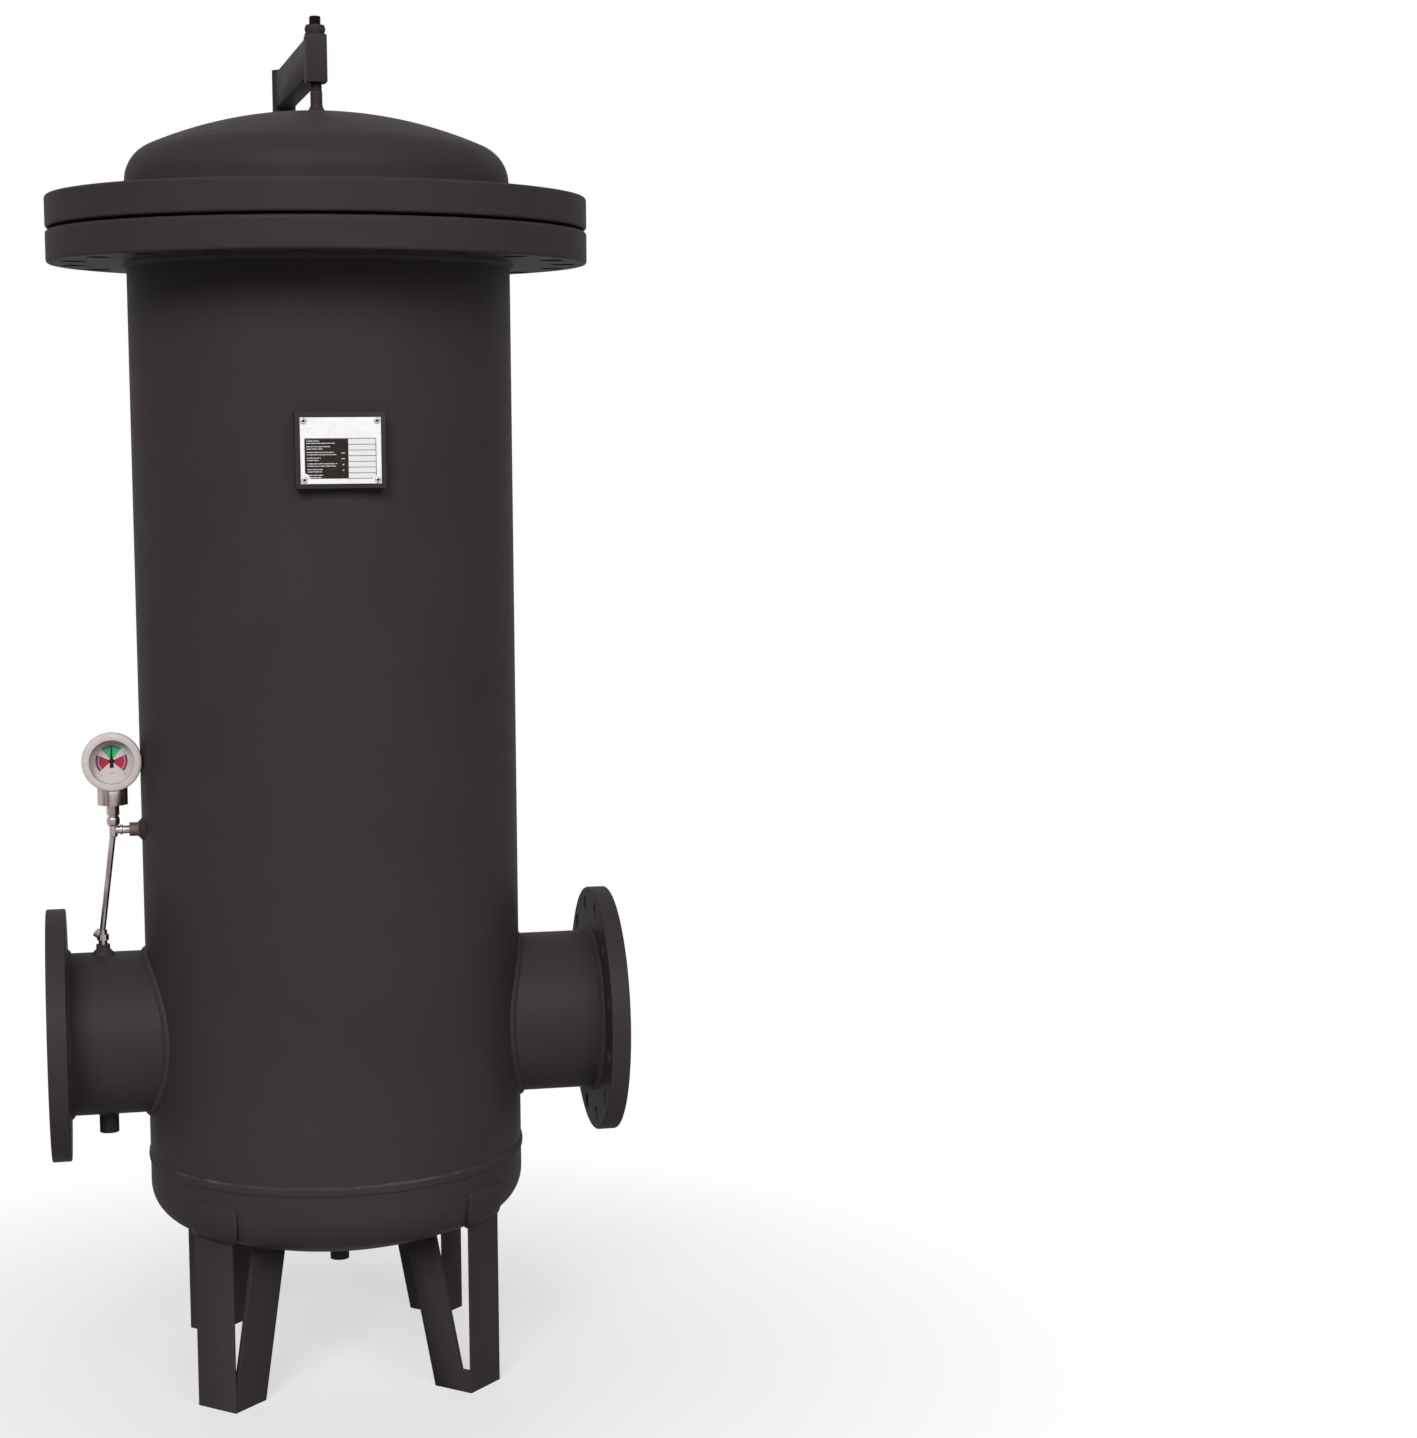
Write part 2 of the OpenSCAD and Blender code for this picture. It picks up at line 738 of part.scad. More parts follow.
module davit_bracket() {
  color(paint) at_davit() difference() {
    for (z = [socket_z + rib_low, body_flange_z - fillet - rib_t - 2])
      translate([0, 0, z]) linear_extrude(rib_t) polygon([
        [-rib_root, shell_r - 30], [rib_root, shell_r - 30], [socket_r, davit_r], [-socket_r, davit_r]]);
    translate([0, 0, socket_z - 20]) cylinder(r = shell_r, h = socket_len + 40);
    translate([0, davit_r, socket_z - 20]) cylinder(r = socket_r, h = socket_len + 40);
  }
}

module davit_column() {
  foot = socket_z + play;
  color(paint) at_davit() translate([0, davit_r, foot]) cylinder(r = column_r, h = column_top_z - foot);
}

// Collar that carries the column on the top of the socket
module davit_collar() {
  color(paint) at_davit() translate([0, davit_r, 0])
    ring(collar_r, column_r, socket_z + socket_len + play, collar_h);
}

module davit_arm() {
  from_y = block_d / 2;
  color(paint) at_davit() difference() {
    translate([-arm_w / 2, from_y, arm_z]) difference() {
      cube([arm_w, davit_r - from_y, arm_h]);
      translate([arm_wall, -1, arm_wall])
        cube([arm_w - 2 * arm_wall, davit_r - from_y + 2, arm_h - 2 * arm_wall]);
    }
    translate([0, davit_r, arm_z - 10]) cylinder(r = column_r, h = arm_h + 20);
  }
}

// Block with the hole that guides the lifting rod
module davit_block() {
  color(paint) at_davit() difference() {
    translate([-block_w / 2, -block_d / 2, block_z]) cube([block_w, block_d, block_h]);
    translate([0, 0, block_z - 1]) cylinder(d = rod_d + 2 * play, h = block_h + 2, $fn = 64);
  }
}

module lifting_washer() {
  color(steel) at_davit() ring(washer_r, rod_d / 2 + play, block_top_z, washer_t);
}

module lifting_nut() {
  color(steel) at_davit() translate([0, 0, nut_z + play]) difference() {
    intersection() {
      cylinder(d = nut_af / cos(30), h = nut_h, $fn = 6);
      union() {
        cylinder(d1 = nut_af, d2 = nut_af * 1.2, h = nut_h / 2, $fn = 64);
        translate([0, 0, nut_h / 2]) cylinder(d1 = nut_af * 1.2, d2 = nut_af, h = nut_h / 2, $fn = 64);
      }
    }
    translate([0, 0, -1]) cylinder(d = rod_d + 2 * bore_play, h = nut_h + 2, $fn = 64);
  }
}

// Threaded rod on the crown, with a flared weld at its foot
module lifting_rod() {
  color(paint) at_davit() difference() {
    rotate_extrude($fn = 64) polygon([
      [0, crown_z - 3], [rod_d, crown_z - 3], [rod_d / 2, crown_z + rod_flare],
      [rod_d / 2, rod_top_z - 1], [rod_d / 2 - 1.5, rod_top_z], [0, rod_top_z]]);
    translate([0, 0, top_tangent_z]) dished_core(skirt_top, 0);
  }
}

module cover_head() {
  color(paint) on_axis() translate([0, 0, top_tangent_z]) dished_head(skirt_top + cover_t - weld_step);
}

module cover_flange() {
  color(paint) on_axis() difference() {
    flange_ring(cover_od / 2, shell_r, cover_z, cover_t, rim_r);
    translate([0, 0, cover_z]) hole_circle(cover_pcd, cover_hole_d, cover_holes, 4 * cover_t);
  }
}

// Fillet between the cover flange and its head, above and in the step below
module cover_seam_weld() {
  color(paint) on_axis() {
    fillet_ring(shell_r, cover_top_z, cover_fillet);
    rotate_extrude($fn = 128) polygon([
      [shell_r, cover_z + weld_step], [shell_ri, cover_z + weld_step], [shell_r, cover_z]]);
  }
}

module cover_gasket() {
  color(gasket_grey) on_axis() ring(gasket_od / 2, shell_ri, body_face_z, gasket_t);
}

// Inside: the seat ring carries the basket plate, and the riser brings the inlet up through it
module seat_ring() {
  color(stainless) on_axis() ring(shell_ri, shell_ri - seat_w, seat_top_z - seat_t, seat_t);
}

module plate_gasket() {
  color(gasket_grey) on_axis() ring(plate_r, shell_ri - seat_w, seat_top_z, plate_gasket_t);
}

module at_basket(side) {
  on_axis() rotate([0, 0, side * basket_bearing]) translate([pitch_r, 0, 0]) children();
}

module basket_plate() {
  color(stainless) difference() {
    on_axis() translate([0, 0, plate_z - plate_t]) cylinder(r = plate_r, h = plate_t);
    for (side = [-1, 1]) at_basket(side) translate([0, 0, plate_z - plate_t - 1])
      cylinder(d = basket_od + 1, h = plate_t + 2);
    on_axis() translate([-pitch_r, 0, plate_z - plate_t - 1]) cylinder(r = pipe_r + play, h = plate_t + 2);
  }
}

// Half space beyond a plane through the origin, towards +X after turning
module half_space(turn) {
  rotate([0, turn, 0]) translate([0, -pipe_od, -3 * pipe_od]) cube([6 * pipe_od, 2 * pipe_od, 6 * pipe_od]);
}

// Stub from the inlet pipe to the mitre
module inlet_elbow() {
  reach = shell_ri - nozzle_in - pitch_r;
  color(stainless) on_axis() translate([-pitch_r, 0, nozzle_z]) difference() {
    translate([-reach, 0, 0]) rotate([0, 90, 0]) ring(pipe_r, pipe_ri, 0, reach + pipe_od);
    half_space(-mitre);
  }
}

// Riser pipe from the mitre up through the basket plate
module inlet_riser() {
  color(stainless) on_axis() translate([-pitch_r, 0, nozzle_z]) difference() {
    ring(pipe_r, pipe_ri, -pipe_od, plate_z + riser_stand - nozzle_z + pipe_od);
    half_space(180 - mitre);
  }
}

// Perforated basket with a rim that hangs on the plate
module basket(side) {
  r = basket_od / 2;
  color(stainless) at_basket(side) translate([0, 0, plate_z]) difference() {
    rotate_extrude() polygon([
      [0, -basket_len], [r - basket_bevel, -basket_len], [r, -basket_len + basket_bevel],
      [r, 0], [rim_od / 2, 0],
      [rim_od / 2, rim_t], [r - basket_t, rim_t], [r - basket_t, -basket_len + basket_bevel + 1],
      [r - basket_bevel - 1, -basket_len + basket_t], [0, -basket_len + basket_t]]);
    for (row = [0 : perf_rows - 1], k = [0 : perf_round - 1])
      rotate([0, 0, (k + (row % 2) / 2) * 360 / perf_round])
        translate([r - 12, 0, -perf_top - row * (basket_len - 2 * perf_top) / (perf_rows - 1)])
          rotate([0, 90, 0]) cylinder(d = perf_d, h = 24, $fn = 24);
  }
}

module basket_front() {
  basket(-1);
}

module basket_back() {
  basket(1);
}

// Felt bag with a rounded foot, hung from its ring
module bag(side) {
  r = basket_od / 2 - basket_t - bag_clear;
  foot = -basket_len + basket_t + play;
  color(felt) at_basket(side) translate([0, 0, plate_z]) rotate_extrude() polygon(concat(
    [[0, foot]], arc([r - bag_round, foot + bag_round], bag_round, -90, 0, 6), [[r, rim_t]],
    [[r - bag_t, rim_t]], reversed(arc([r - bag_round, foot + bag_round], bag_round - bag_t, -90, 0, 6)),
    [[0, foot + bag_t]]));
}

module bag_front() {
  bag(-1);
}

module bag_back() {
  bag(1);
}

module bag_rings() {
  r = basket_od / 2 - basket_t - bag_clear;
  color(felt) for (side = [-1, 1]) at_basket(side) ring(rim_od / 2, r - bag_t - 3, plate_z + rim_t, bag_ring_h);
}

// Clamp over both bag rings: a bar, a stud and a nut
module hold_down_bar() {
  len = 2 * clamp_y + rim_od - 10;
  color(stainless) on_axis() difference() {
    translate([clamp_x - bar_w / 2, -len / 2, bar_z]) cube([bar_w, len, bar_t]);
    translate([clamp_x, 0, bar_z - 1]) cylinder(d = stud_d + 2 * play, h = bar_t + 2, $fn = 48);
  }
}

module hold_down_stud() {
  color(stainless) on_axis() translate([clamp_x, 0, plate_z])
    cylinder(d = stud_d, h = bar_z + bar_t + stud_d + 8 - plate_z, $fn = 48);
}

module hold_down_nut() {
  color(stainless) on_axis() translate([clamp_x, 0, bar_z + bar_t]) difference() {
    cylinder(d = 1.7 * stud_d / cos(30), h = 0.8 * stud_d, $fn = 6);
    translate([0, 0, -1]) cylinder(d = stud_d + 2 * bore_play, h = stud_d + 2, $fn = 48);
  }
}

// Gauge, facing the front: local +Z is the way that the dial looks
module at_dial() {
  at_gauge() translate([0, 0, gauge_z]) rotate([90, 0, 0]) children();
}

module gauge_case() {
  color(steel) at_dial() translate([0, 0, -case_depth / 2]) rotate_extrude() polygon(concat(
    [[0, 0]], arc([case_r - 5, 5], 5, -90, 0, 5),
    [[case_r, case_depth], [case_r - 3, case_depth], [case_r - 3, dial_depth], [0, dial_depth]]));
}

module gauge_dial() {
  color(white) at_dial() translate([0, 0, -case_depth / 2 + dial_depth])
    difference() {
      cylinder(r = case_r - 3.3, h = dial_t);
      translate([0, 0, -1]) cylinder(r = spindle_r + bore_play, h = dial_t + 2, $fn = 48);
    }
}

module gauge_lens() {
  color(clear) at_dial() translate([0, 0, case_depth / 2]) cylinder(r = case_r - 3, h = lens_t);
}

// Bayonet ring with a sloped inner lip
module gauge_bezel() {
  b = bezel_od / 2;
  color(steel) at_dial() translate([0, 0, case_depth / 2]) rotate_extrude() polygon([
    [case_r + bore_play, -bezel_skirt], [b - 1, -bezel_skirt], [b, 1 - bezel_skirt], [b, lens_t + 1],
    [b - 2, lens_t + 3], [b - 6, lens_t + 3],
    [window_d / 2, lens_t + 0.6], [window_d / 2, lens_t], [case_r + bore_play, lens_t]]);
}

module gauge_pointer() {
  lift = -case_depth / 2 + dial_depth + dial_t + play;
  tail = -9;
  color(black) at_dial() {
    translate([0, 0, lift]) linear_extrude(0.8) polygon([
      [-0.4, 21], [0.4, 21], [1.5, 3], [2.6, tail], [-2.6, tail], [-1.5, 3]]);
    translate([0, 0, lift]) cylinder(r = 3.4, h = 2.2, $fn = 48);
    translate([0, 0, lift - dial_t - play]) cylinder(r = spindle_r, h = dial_t + play + 1, $fn = 48);
  }
}

// Round base block and stem under the case
module gauge_base() {
  color(steel) difference() {
    at_gauge() translate([0, 0, base_top_z - base_h]) {
      cylinder(d = base_d, h = base_h - 2);
      translate([0, 0, base_h - 2]) cylinder(d1 = base_d, d2 = base_d - 4, h = 2);
    }
    at_dial() translate([0, 0, -case_depth]) cylinder(r = case_r, h = 2 * case_depth);
    at_dial() translate([0, 0, case_depth / 2 - bezel_skirt - play])
      cylinder(r = bezel_od / 2 + play, h = case_depth);
  }
}

module gauge_stem() {
  color(steel) at_gauge() translate([0, 0, tee_top_z]) {
    cylinder(d = 16.5, h = 8, $fn = 6);
    cylinder(d = 11, h = base_top_z - base_h - tee_top_z, $fn = 48);
  }
}

module gauge_tee() {
  color(steel) at_gauge() {
    translate([0, 0, branch_z]) {
      sphere(r = tee_r, $fn = 48);
      cylinder(d = 14, h = tee_top_z - branch_z, $fn = 48);
      rotate([0, 90, 0]) cylinder(d = 13, h = tee_arm, $fn = 48);
    }
  }
}

module gauge_nipple() {
  color(steel) at_gauge() translate([tee_arm, 0, branch_z]) rotate([0, 90, 0])
    cylinder(d = 11, h = gauge_x - shell_side_x - branch_socket_len - tee_arm, $fn = 48);
}

// Impulse tube: it leans from the tee to the socket on the nozzle, and is cut square at its foot
module impulse_tube() {
  run_x = tube_foot_x - gauge_x;
  run_y = tube_foot_y - gauge_y;
  drop = branch_z - tube_foot_z;
  run = sqrt(run_x * run_x + run_y * run_y);
  color(steel) difference() {
    on_axis() translate([-tube_foot_x, -tube_foot_y, tube_foot_z])
      rotate([0, atan2(run, drop), atan2(run_y, run_x)]) translate([0, 0, -tube_d])
      cylinder(d = tube_d, h = sqrt(run * run + drop * drop) + tube_d, $fn = 48);
    on_axis() translate([-tube_foot_x, -tube_foot_y, tube_foot_z - 3 * tube_d])
      cylinder(r = 2 * tube_d, h = 3 * tube_d, $fn = 48);
    at_gauge() translate([0, 0, branch_z]) sphere(r = tee_r, $fn = 48);
    at_gauge() translate([0, 0, branch_z]) cylinder(r = tee_r, h = 2 * tee_r, $fn = 48);
  }
}

// Compression fitting between the tube's foot and its socket
module tube_fitting() {
  color(steel) on_axis() translate([-tube_foot_x, -tube_foot_y, pipe_top_z + foot_socket_len]) {
    cylinder(d = 12, h = 6, $fn = 48);
    translate([0, 0, 6]) cylinder(d = 16, h = 8, $fn = 6);
    translate([0, 0, 14]) cylinder(d = 12, h = tube_foot_z - pipe_top_z - foot_socket_len - 14, $fn = 48);
  }
}

shell();
bottom_head();
bottom_seam_weld();
body_flange();
body_flange_weld();
inlet_pipe();
inlet_flange();
inlet_welds();
outlet_pipe();
outlet_flange();
outlet_welds();
leg_front_left();
leg_front_right();
leg_rear_left();
leg_rear_right();
bottom_drain_socket();
inlet_drain_socket();
drain_plugs();
shell_gauge_socket();
nozzle_gauge_socket();
nameplate_bracket();
nameplate();
nameplate_rivets();
davit_socket();
davit_bracket();
cover_gasket();
seat_ring();
plate_gasket();
basket_plate();
inlet_elbow();
inlet_riser();
basket_front();
basket_back();
bag_front();
bag_back();
bag_rings();
hold_down_bar();
hold_down_stud();
hold_down_nut();
gauge_case();
gauge_bezel();
gauge_dial();
gauge_lens();
gauge_base();
gauge_stem();
gauge_tee();
gauge_nipple();
impulse_tube();
tube_fitting();
gauge_pointer();
davit_column();
davit_collar();
davit_arm();
davit_block();
lifting_washer();
cover_head();
cover_flange();
cover_seam_weld();
lifting_rod();
lifting_nut();
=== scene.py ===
"""Dressing of the bag filter housing: finishes, weld beads, thread, gauge, nameplate and filter bags."""

import json
import math

import bmesh
import bpy
from mathutils import Matrix, Vector


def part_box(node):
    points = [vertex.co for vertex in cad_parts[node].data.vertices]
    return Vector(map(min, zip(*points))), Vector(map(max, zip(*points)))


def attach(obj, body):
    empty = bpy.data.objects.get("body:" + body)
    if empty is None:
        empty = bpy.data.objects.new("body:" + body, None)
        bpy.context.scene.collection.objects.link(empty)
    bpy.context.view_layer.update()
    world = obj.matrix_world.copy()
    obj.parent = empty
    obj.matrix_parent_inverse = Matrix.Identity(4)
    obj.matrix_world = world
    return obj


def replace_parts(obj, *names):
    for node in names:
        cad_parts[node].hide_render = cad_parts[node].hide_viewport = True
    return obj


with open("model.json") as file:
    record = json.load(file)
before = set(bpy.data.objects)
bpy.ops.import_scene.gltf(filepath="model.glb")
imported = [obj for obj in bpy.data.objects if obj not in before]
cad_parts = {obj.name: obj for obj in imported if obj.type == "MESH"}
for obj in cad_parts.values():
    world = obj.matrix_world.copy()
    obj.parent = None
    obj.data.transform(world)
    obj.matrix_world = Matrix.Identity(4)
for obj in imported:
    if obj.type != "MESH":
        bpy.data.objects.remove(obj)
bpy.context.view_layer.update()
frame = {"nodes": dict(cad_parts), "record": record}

NODES = frame["nodes"]
MM = 0.001
UP = Vector((0, 0, 1))

# Places and sizes, in metres, read from the frame's own boxes
shell_lo, shell_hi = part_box("shell")
AXIS = Vector(((shell_lo.x + shell_hi.x) / 2, (shell_lo.y + shell_hi.y) / 2, 0))
SHELL_R = (shell_hi.x - shell_lo.x) / 2
SEAM_Z = shell_lo.z
inlet_lo, inlet_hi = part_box("inlet_flange")
NOZZLE_Z = (inlet_lo.z + inlet_hi.z) / 2
FLANGE_BACK_X = {"inlet": inlet_hi.x, "outlet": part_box("outlet_flange")[0].x}
pipe_lo, pipe_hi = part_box("inlet_pipe")
PIPE_R = (pipe_hi.y - pipe_lo.y) / 2
BODY_FLANGE_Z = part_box("body_flange")[0].z
COVER_TOP_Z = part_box("cover_flange")[1].z
post_lo, post_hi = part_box("davit_socket")
POST = (post_lo + post_hi) / 2
POST_R = (post_hi.x - post_lo.x) / 2
bezel_lo, bezel_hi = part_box("gauge_bezel")
DIAL = Vector(((bezel_lo.x + bezel_hi.x) / 2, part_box("gauge_dial")[0].y, (bezel_lo.z + bezel_hi.z) / 2))
plate_lo, plate_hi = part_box("nameplate")

# Outside of the bottom head: a crown and a knuckle that ends in the tangent line
CROWN_R = 0.56
KNUCKLE_R = 0.0508
KNUCKLE_AT = SHELL_R - KNUCKLE_R
HEAD_LOW_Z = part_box("bottom_head")[0].z
HEAD_H = CROWN_R - math.sqrt((CROWN_R - KNUCKLE_R) ** 2 - KNUCKLE_AT ** 2)
TANGENT_Z = HEAD_LOW_Z + HEAD_H
CROWN_AT = HEAD_LOW_Z + CROWN_R
KNUCKLE_SLOPE = KNUCKLE_AT / (CROWN_AT - TANGENT_Z)

# Weld beads: (width across the toes, height), and how far a centre line stands off the faces it joins
SEAM_BEAD = (0.0135, 0.0019)
FLANGE_BEAD = (0.0098, 0.0022)
COVER_BEAD = (0.0071, 0.0016)
BRANCH_BEAD = (0.0098, 0.0024)
LEG_BEAD = (0.0062, 0.0016)
RIB_TO_SHELL_BEAD = (0.0075, 0.002)
RIB_TO_POST_BEAD = (0.0065, 0.0018)
FLANGE_STAND_OFF = 0.002
COVER_STAND_OFF = 0.0015
BRANCH_STAND_OFF = 0.0016
PLATE_STAND_OFF = 0.0006

# Points round each closed bead
SEAM_POINTS = 2400
FLANGE_POINTS = 2200
NOZZLE_POINTS = 1100
BRANCH_POINTS = 1300

# Angles, in degrees, up to which beads and flat-faced pieces shade smooth
BEAD_SMOOTH = 60
FLAT_SMOOTH = 30

# How close points lie to count as one, and to count as lying on a round body
SAME_POINT = 0.00002
ON_SURFACE = 0.00035

# Turns that lay a spun piece's own Z towards the reader, at -Y, and to the right, at +X
TO_READER = Matrix(((1, 0, 0), (0, 0, -1), (0, 1, 0)))
TO_RIGHT = Matrix(((0, 0, 1), (0, 1, 0), (-1, 0, 0)))

# Prints, in millimetres: how far a print stands off its face, and its thickness
PRINT_OFF = 0.02
PRINT_THICK = 0.06


# Shader helpers
def new_material(name):
    """An empty node material, its tree and its shader."""
    mat = bpy.data.materials.new(name)
    mat.use_nodes = True
    tree = mat.node_tree
    tree.nodes.clear()
    out = tree.nodes.new("ShaderNodeOutputMaterial")
    bsdf = tree.nodes.new("ShaderNodeBsdfPrincipled")
    tree.links.new(bsdf.outputs["BSDF"], out.inputs["Surface"])
    return mat, tree, bsdf


def node_of(tree, kind):
    return next(n for n in tree.nodes if n.type == kind)


def srgb(r, g, b):
    """A display colour from 0 to 255 as a linear one."""
    def lin(c):
        c = c / 255
        return c / 12.92 if c <= 0.04045 else ((c + 0.055) / 1.055) ** 2.4

    return (lin(r), lin(g), lin(b), 1.0)


def object_coords(tree):
    return tree.nodes.new("ShaderNodeTexCoord").outputs["Object"]


def along_axis(tree, coords, axis):
    split = tree.nodes.new("ShaderNodeSeparateXYZ")
    tree.links.new(coords, split.inputs["Vector"])
    return split.outputs[axis]


def noise(tree, coords, scale, detail=3.0, rough=0.5, stretch=None):
    """Noise of scale cells a metre; stretch scales the axes apart."""
    node = tree.nodes.new("ShaderNodeTexNoise")
    node.inputs["Scale"].default_value = scale
    node.inputs["Detail"].default_value = detail
    node.inputs["Roughness"].default_value = rough
    if stretch:
        mapping = tree.nodes.new("ShaderNodeMapping")
        mapping.inputs["Scale"].default_value = stretch
        tree.links.new(coords, mapping.inputs["Vector"])
        coords = mapping.outputs["Vector"]
    tree.links.new(coords, node.inputs["Vector"])
    return node.outputs["Fac"]


def ramp(tree, value, stops):
    """Colour ramp over value; stops are (place, colour)."""
    node = tree.nodes.new("ShaderNodeValToRGB")
    while len(node.color_ramp.elements) < len(stops):
        node.color_ramp.elements.new(0.5)
    for element, (place, colour) in zip(node.color_ramp.elements, stops):
        element.position = place
        element.color = colour
    tree.links.new(value, node.inputs["Fac"])
    return node.outputs["Color"]


def to_range(tree, value, lo, hi, out_lo, out_hi):
    """Value from the range lo to hi taken to out_lo to out_hi, and held at its ends."""
    node = tree.nodes.new("ShaderNodeMapRange")
    node.inputs["From Min"].default_value = lo
    node.inputs["From Max"].default_value = hi
    node.inputs["To Min"].default_value = out_lo
    node.inputs["To Max"].default_value = out_hi
    tree.links.new(value, node.inputs["Value"])
    return node.outputs["Result"]


def mix_colour(tree, fac, a, b):
    """Colour socket a mixed towards colour b, a socket or a plain value."""
    mix = tree.nodes.new("ShaderNodeMix")
    mix.data_type = "RGBA"
    tree.links.new(fac, mix.inputs["Factor"])
    tree.links.new(a, mix.inputs["A"])
    if isinstance(b, tuple):
        mix.inputs["B"].default_value = b
    else:
        tree.links.new(b, mix.inputs["B"])
    return mix.outputs["Result"]


def mix_into_base(tree, bsdf, fac, colour):
    """Mixes a shader's linked base colour towards another colour."""
    old = bsdf.inputs["Base Color"].links[0].from_socket
    tree.links.new(mix_colour(tree, fac, old, colour), bsdf.inputs["Base Color"])


def rgb_value(tree, colour):
    node = tree.nodes.new("ShaderNodeRGB")
    node.outputs[0].default_value = colour
    return node.outputs[0]


def math_node(tree, operation, a, b):
    """A math node; b is a socket or a number."""
    node = tree.nodes.new("ShaderNodeMath")
    node.operation = operation
    tree.links.new(a, node.inputs[0])
    if isinstance(b, (int, float)):
        node.inputs[1].default_value = b
    else:
        tree.links.new(b, node.inputs[1])
    return node.outputs["Value"]


def add_bump(tree, bsdf, height, strength, distance, under=None):
    """Bump on the shader, over another bump's normal where one is given."""
    node = tree.nodes.new("ShaderNodeBump")
    node.inputs["Strength"].default_value = strength
    node.inputs["Distance"].default_value = distance
    tree.links.new(height, node.inputs["Height"])
    if under:
        tree.links.new(under, node.inputs["Normal"])
    tree.links.new(node.outputs["Normal"], bsdf.inputs["Normal"])
    return node.outputs["Normal"]


def edge_wear(tree, coords, base, worn, amount):
    """Mixes base towards worn, in broken patches, where a rounded normal leaves the plain one: at edges."""
    rounded = tree.nodes.new("ShaderNodeBevel")
    rounded.samples = 3
    rounded.inputs["Radius"].default_value = 0.0022
    geometry = tree.nodes.new("ShaderNodeNewGeometry")
    dot = tree.nodes.new("ShaderNodeVectorMath")
    dot.operation = "DOT_PRODUCT"
    tree.links.new(rounded.outputs["Normal"], dot.inputs[0])
    tree.links.new(geometry.outputs["Normal"], dot.inputs[1])
    edge = to_range(tree, dot.outputs["Value"], 0.985, 0.9, 0.0, amount)
    patch = to_range(tree, noise(tree, coords, 45, 4, 0.7), 0.42, 0.62, 0.15, 1.0)
    return mix_colour(tree, math_node(tree, "MULTIPLY", edge, patch), base, worn)


# Materials
def paint_material(name, dark, light, peel=1.0):
    """Dark warm enamel: mottled tone, orange peel, a little dust, edges worn paler, a faint sheen."""
    mat, tree, bsdf = new_material(name)
    coords = object_coords(tree)
    base = ramp(tree, noise(tree, coords, 5, 5, 0.6), [(0.32, dark), (0.68, light)])
    dust = to_range(tree, noise(tree, coords, 420, 2, 0.6), 0.66, 0.74, 0.0, 0.16)
    base = mix_colour(tree, dust, base, srgb(104, 98, 96))
    tree.links.new(edge_wear(tree, coords, base, srgb(96, 88, 86), 0.45), bsdf.inputs["Base Color"])
    bsdf.inputs["Specular IOR Level"].default_value = 0.008
    bsdf.inputs["Coat Weight"].default_value = 0.1
    bsdf.inputs["Coat Roughness"].default_value = 0.42
    rough = to_range(tree, noise(tree, coords, 38, 4, 0.6), 0.3, 0.7, 0.56, 0.7)
    tree.links.new(rough, bsdf.inputs["Roughness"])
    broad = add_bump(tree, bsdf, noise(tree, coords, 30, 2, 0.4), 0.12 * peel, 0.002)
    add_bump(tree, bsdf, noise(tree, coords, 330, 2, 0.5), 0.3 * peel, 0.0007, broad)
    return mat


def rubbed_seam_material(name, level, width):
    """The enamel on a weld, with a paler line in broken patches along its upper edge, at that level: a
    painted highlight.
    """
    mat = paint_material(name, ENAMEL_DARK, ENAMEL_WELD, WELD_PEEL)
    tree = mat.node_tree
    coords = object_coords(tree)
    above = math_node(tree, "SUBTRACT", along_axis(tree, coords, "Z"), level)
    near = to_range(tree, math_node(tree, "ABSOLUTE", above, 0.0), width * 0.3, width, 1.0, 0.0)
    patch = to_range(tree, noise(tree, coords, 9, 5, 0.7, (1, 1, 0.3)), 0.5, 0.68, 0.04, 0.5)
    rubbed = math_node(tree, "MULTIPLY", near, patch)
    # Paler tone in broken patches along the bead's upper line: painted highlight
    mix_into_base(tree, node_of(tree, "BSDF_PRINCIPLED"), rubbed, srgb(122, 104, 97))
    return mat


def bare_collar_material(name, bare_below, soften):
    """The enamel, left off the outer end of the gauge's socket, where x is below a place: bare steel."""
    mat = paint_material(name, ENAMEL_DARK, ENAMEL_LIGHT)
    tree = mat.node_tree
    bsdf = node_of(tree, "BSDF_PRINCIPLED")
    coords = object_coords(tree)
    wander = to_range(tree, noise(tree, coords, 160, 3), 0.3, 0.7, -soften, soften)
    edge = math_node(tree, "ADD", along_axis(tree, coords, "X"), wander)
    bare = to_range(tree, edge, bare_below, bare_below + soften, 1.0, 0.0)
    grain = noise(tree, coords, 700, 3, 0.6, (3, 1, 1))
    turned = ramp(tree, grain, [(0.3, srgb(92, 76, 72)), (0.7, srgb(128, 110, 105))])
    mix_into_base(tree, bsdf, bare, turned)
    tree.links.new(math_node(tree, "MULTIPLY", bare, 0.6), bsdf.inputs["Metallic"])
    return mat


def metal_material(name, light, dark, rough_lo, rough_hi, scale=300, stretch=(1, 1, 1), bump=0.1):
    """Bare metal with fine streaks, from a light to a dark tone, and a few darker stains."""
    mat, tree, bsdf = new_material(name)
    coords = object_coords(tree)
    streak = noise(tree, coords, scale, 4, 0.6, stretch)
    base = ramp(tree, streak, [(0.3, dark), (0.7, light)])
    stain = to_range(tree, noise(tree, coords, 40, 4, 0.7), 0.55, 0.75, 0.0, 0.35)
    base = mix_colour(tree, stain, base, tuple(c * 0.6 for c in dark[:3]) + (1.0,))
    tree.links.new(base, bsdf.inputs["Base Color"])
    bsdf.inputs["Metallic"].default_value = 1.0
    tree.links.new(to_range(tree, streak, 0.3, 0.7, rough_lo, rough_hi), bsdf.inputs["Roughness"])
    add_bump(tree, bsdf, streak, bump, 0.0003)
    return mat


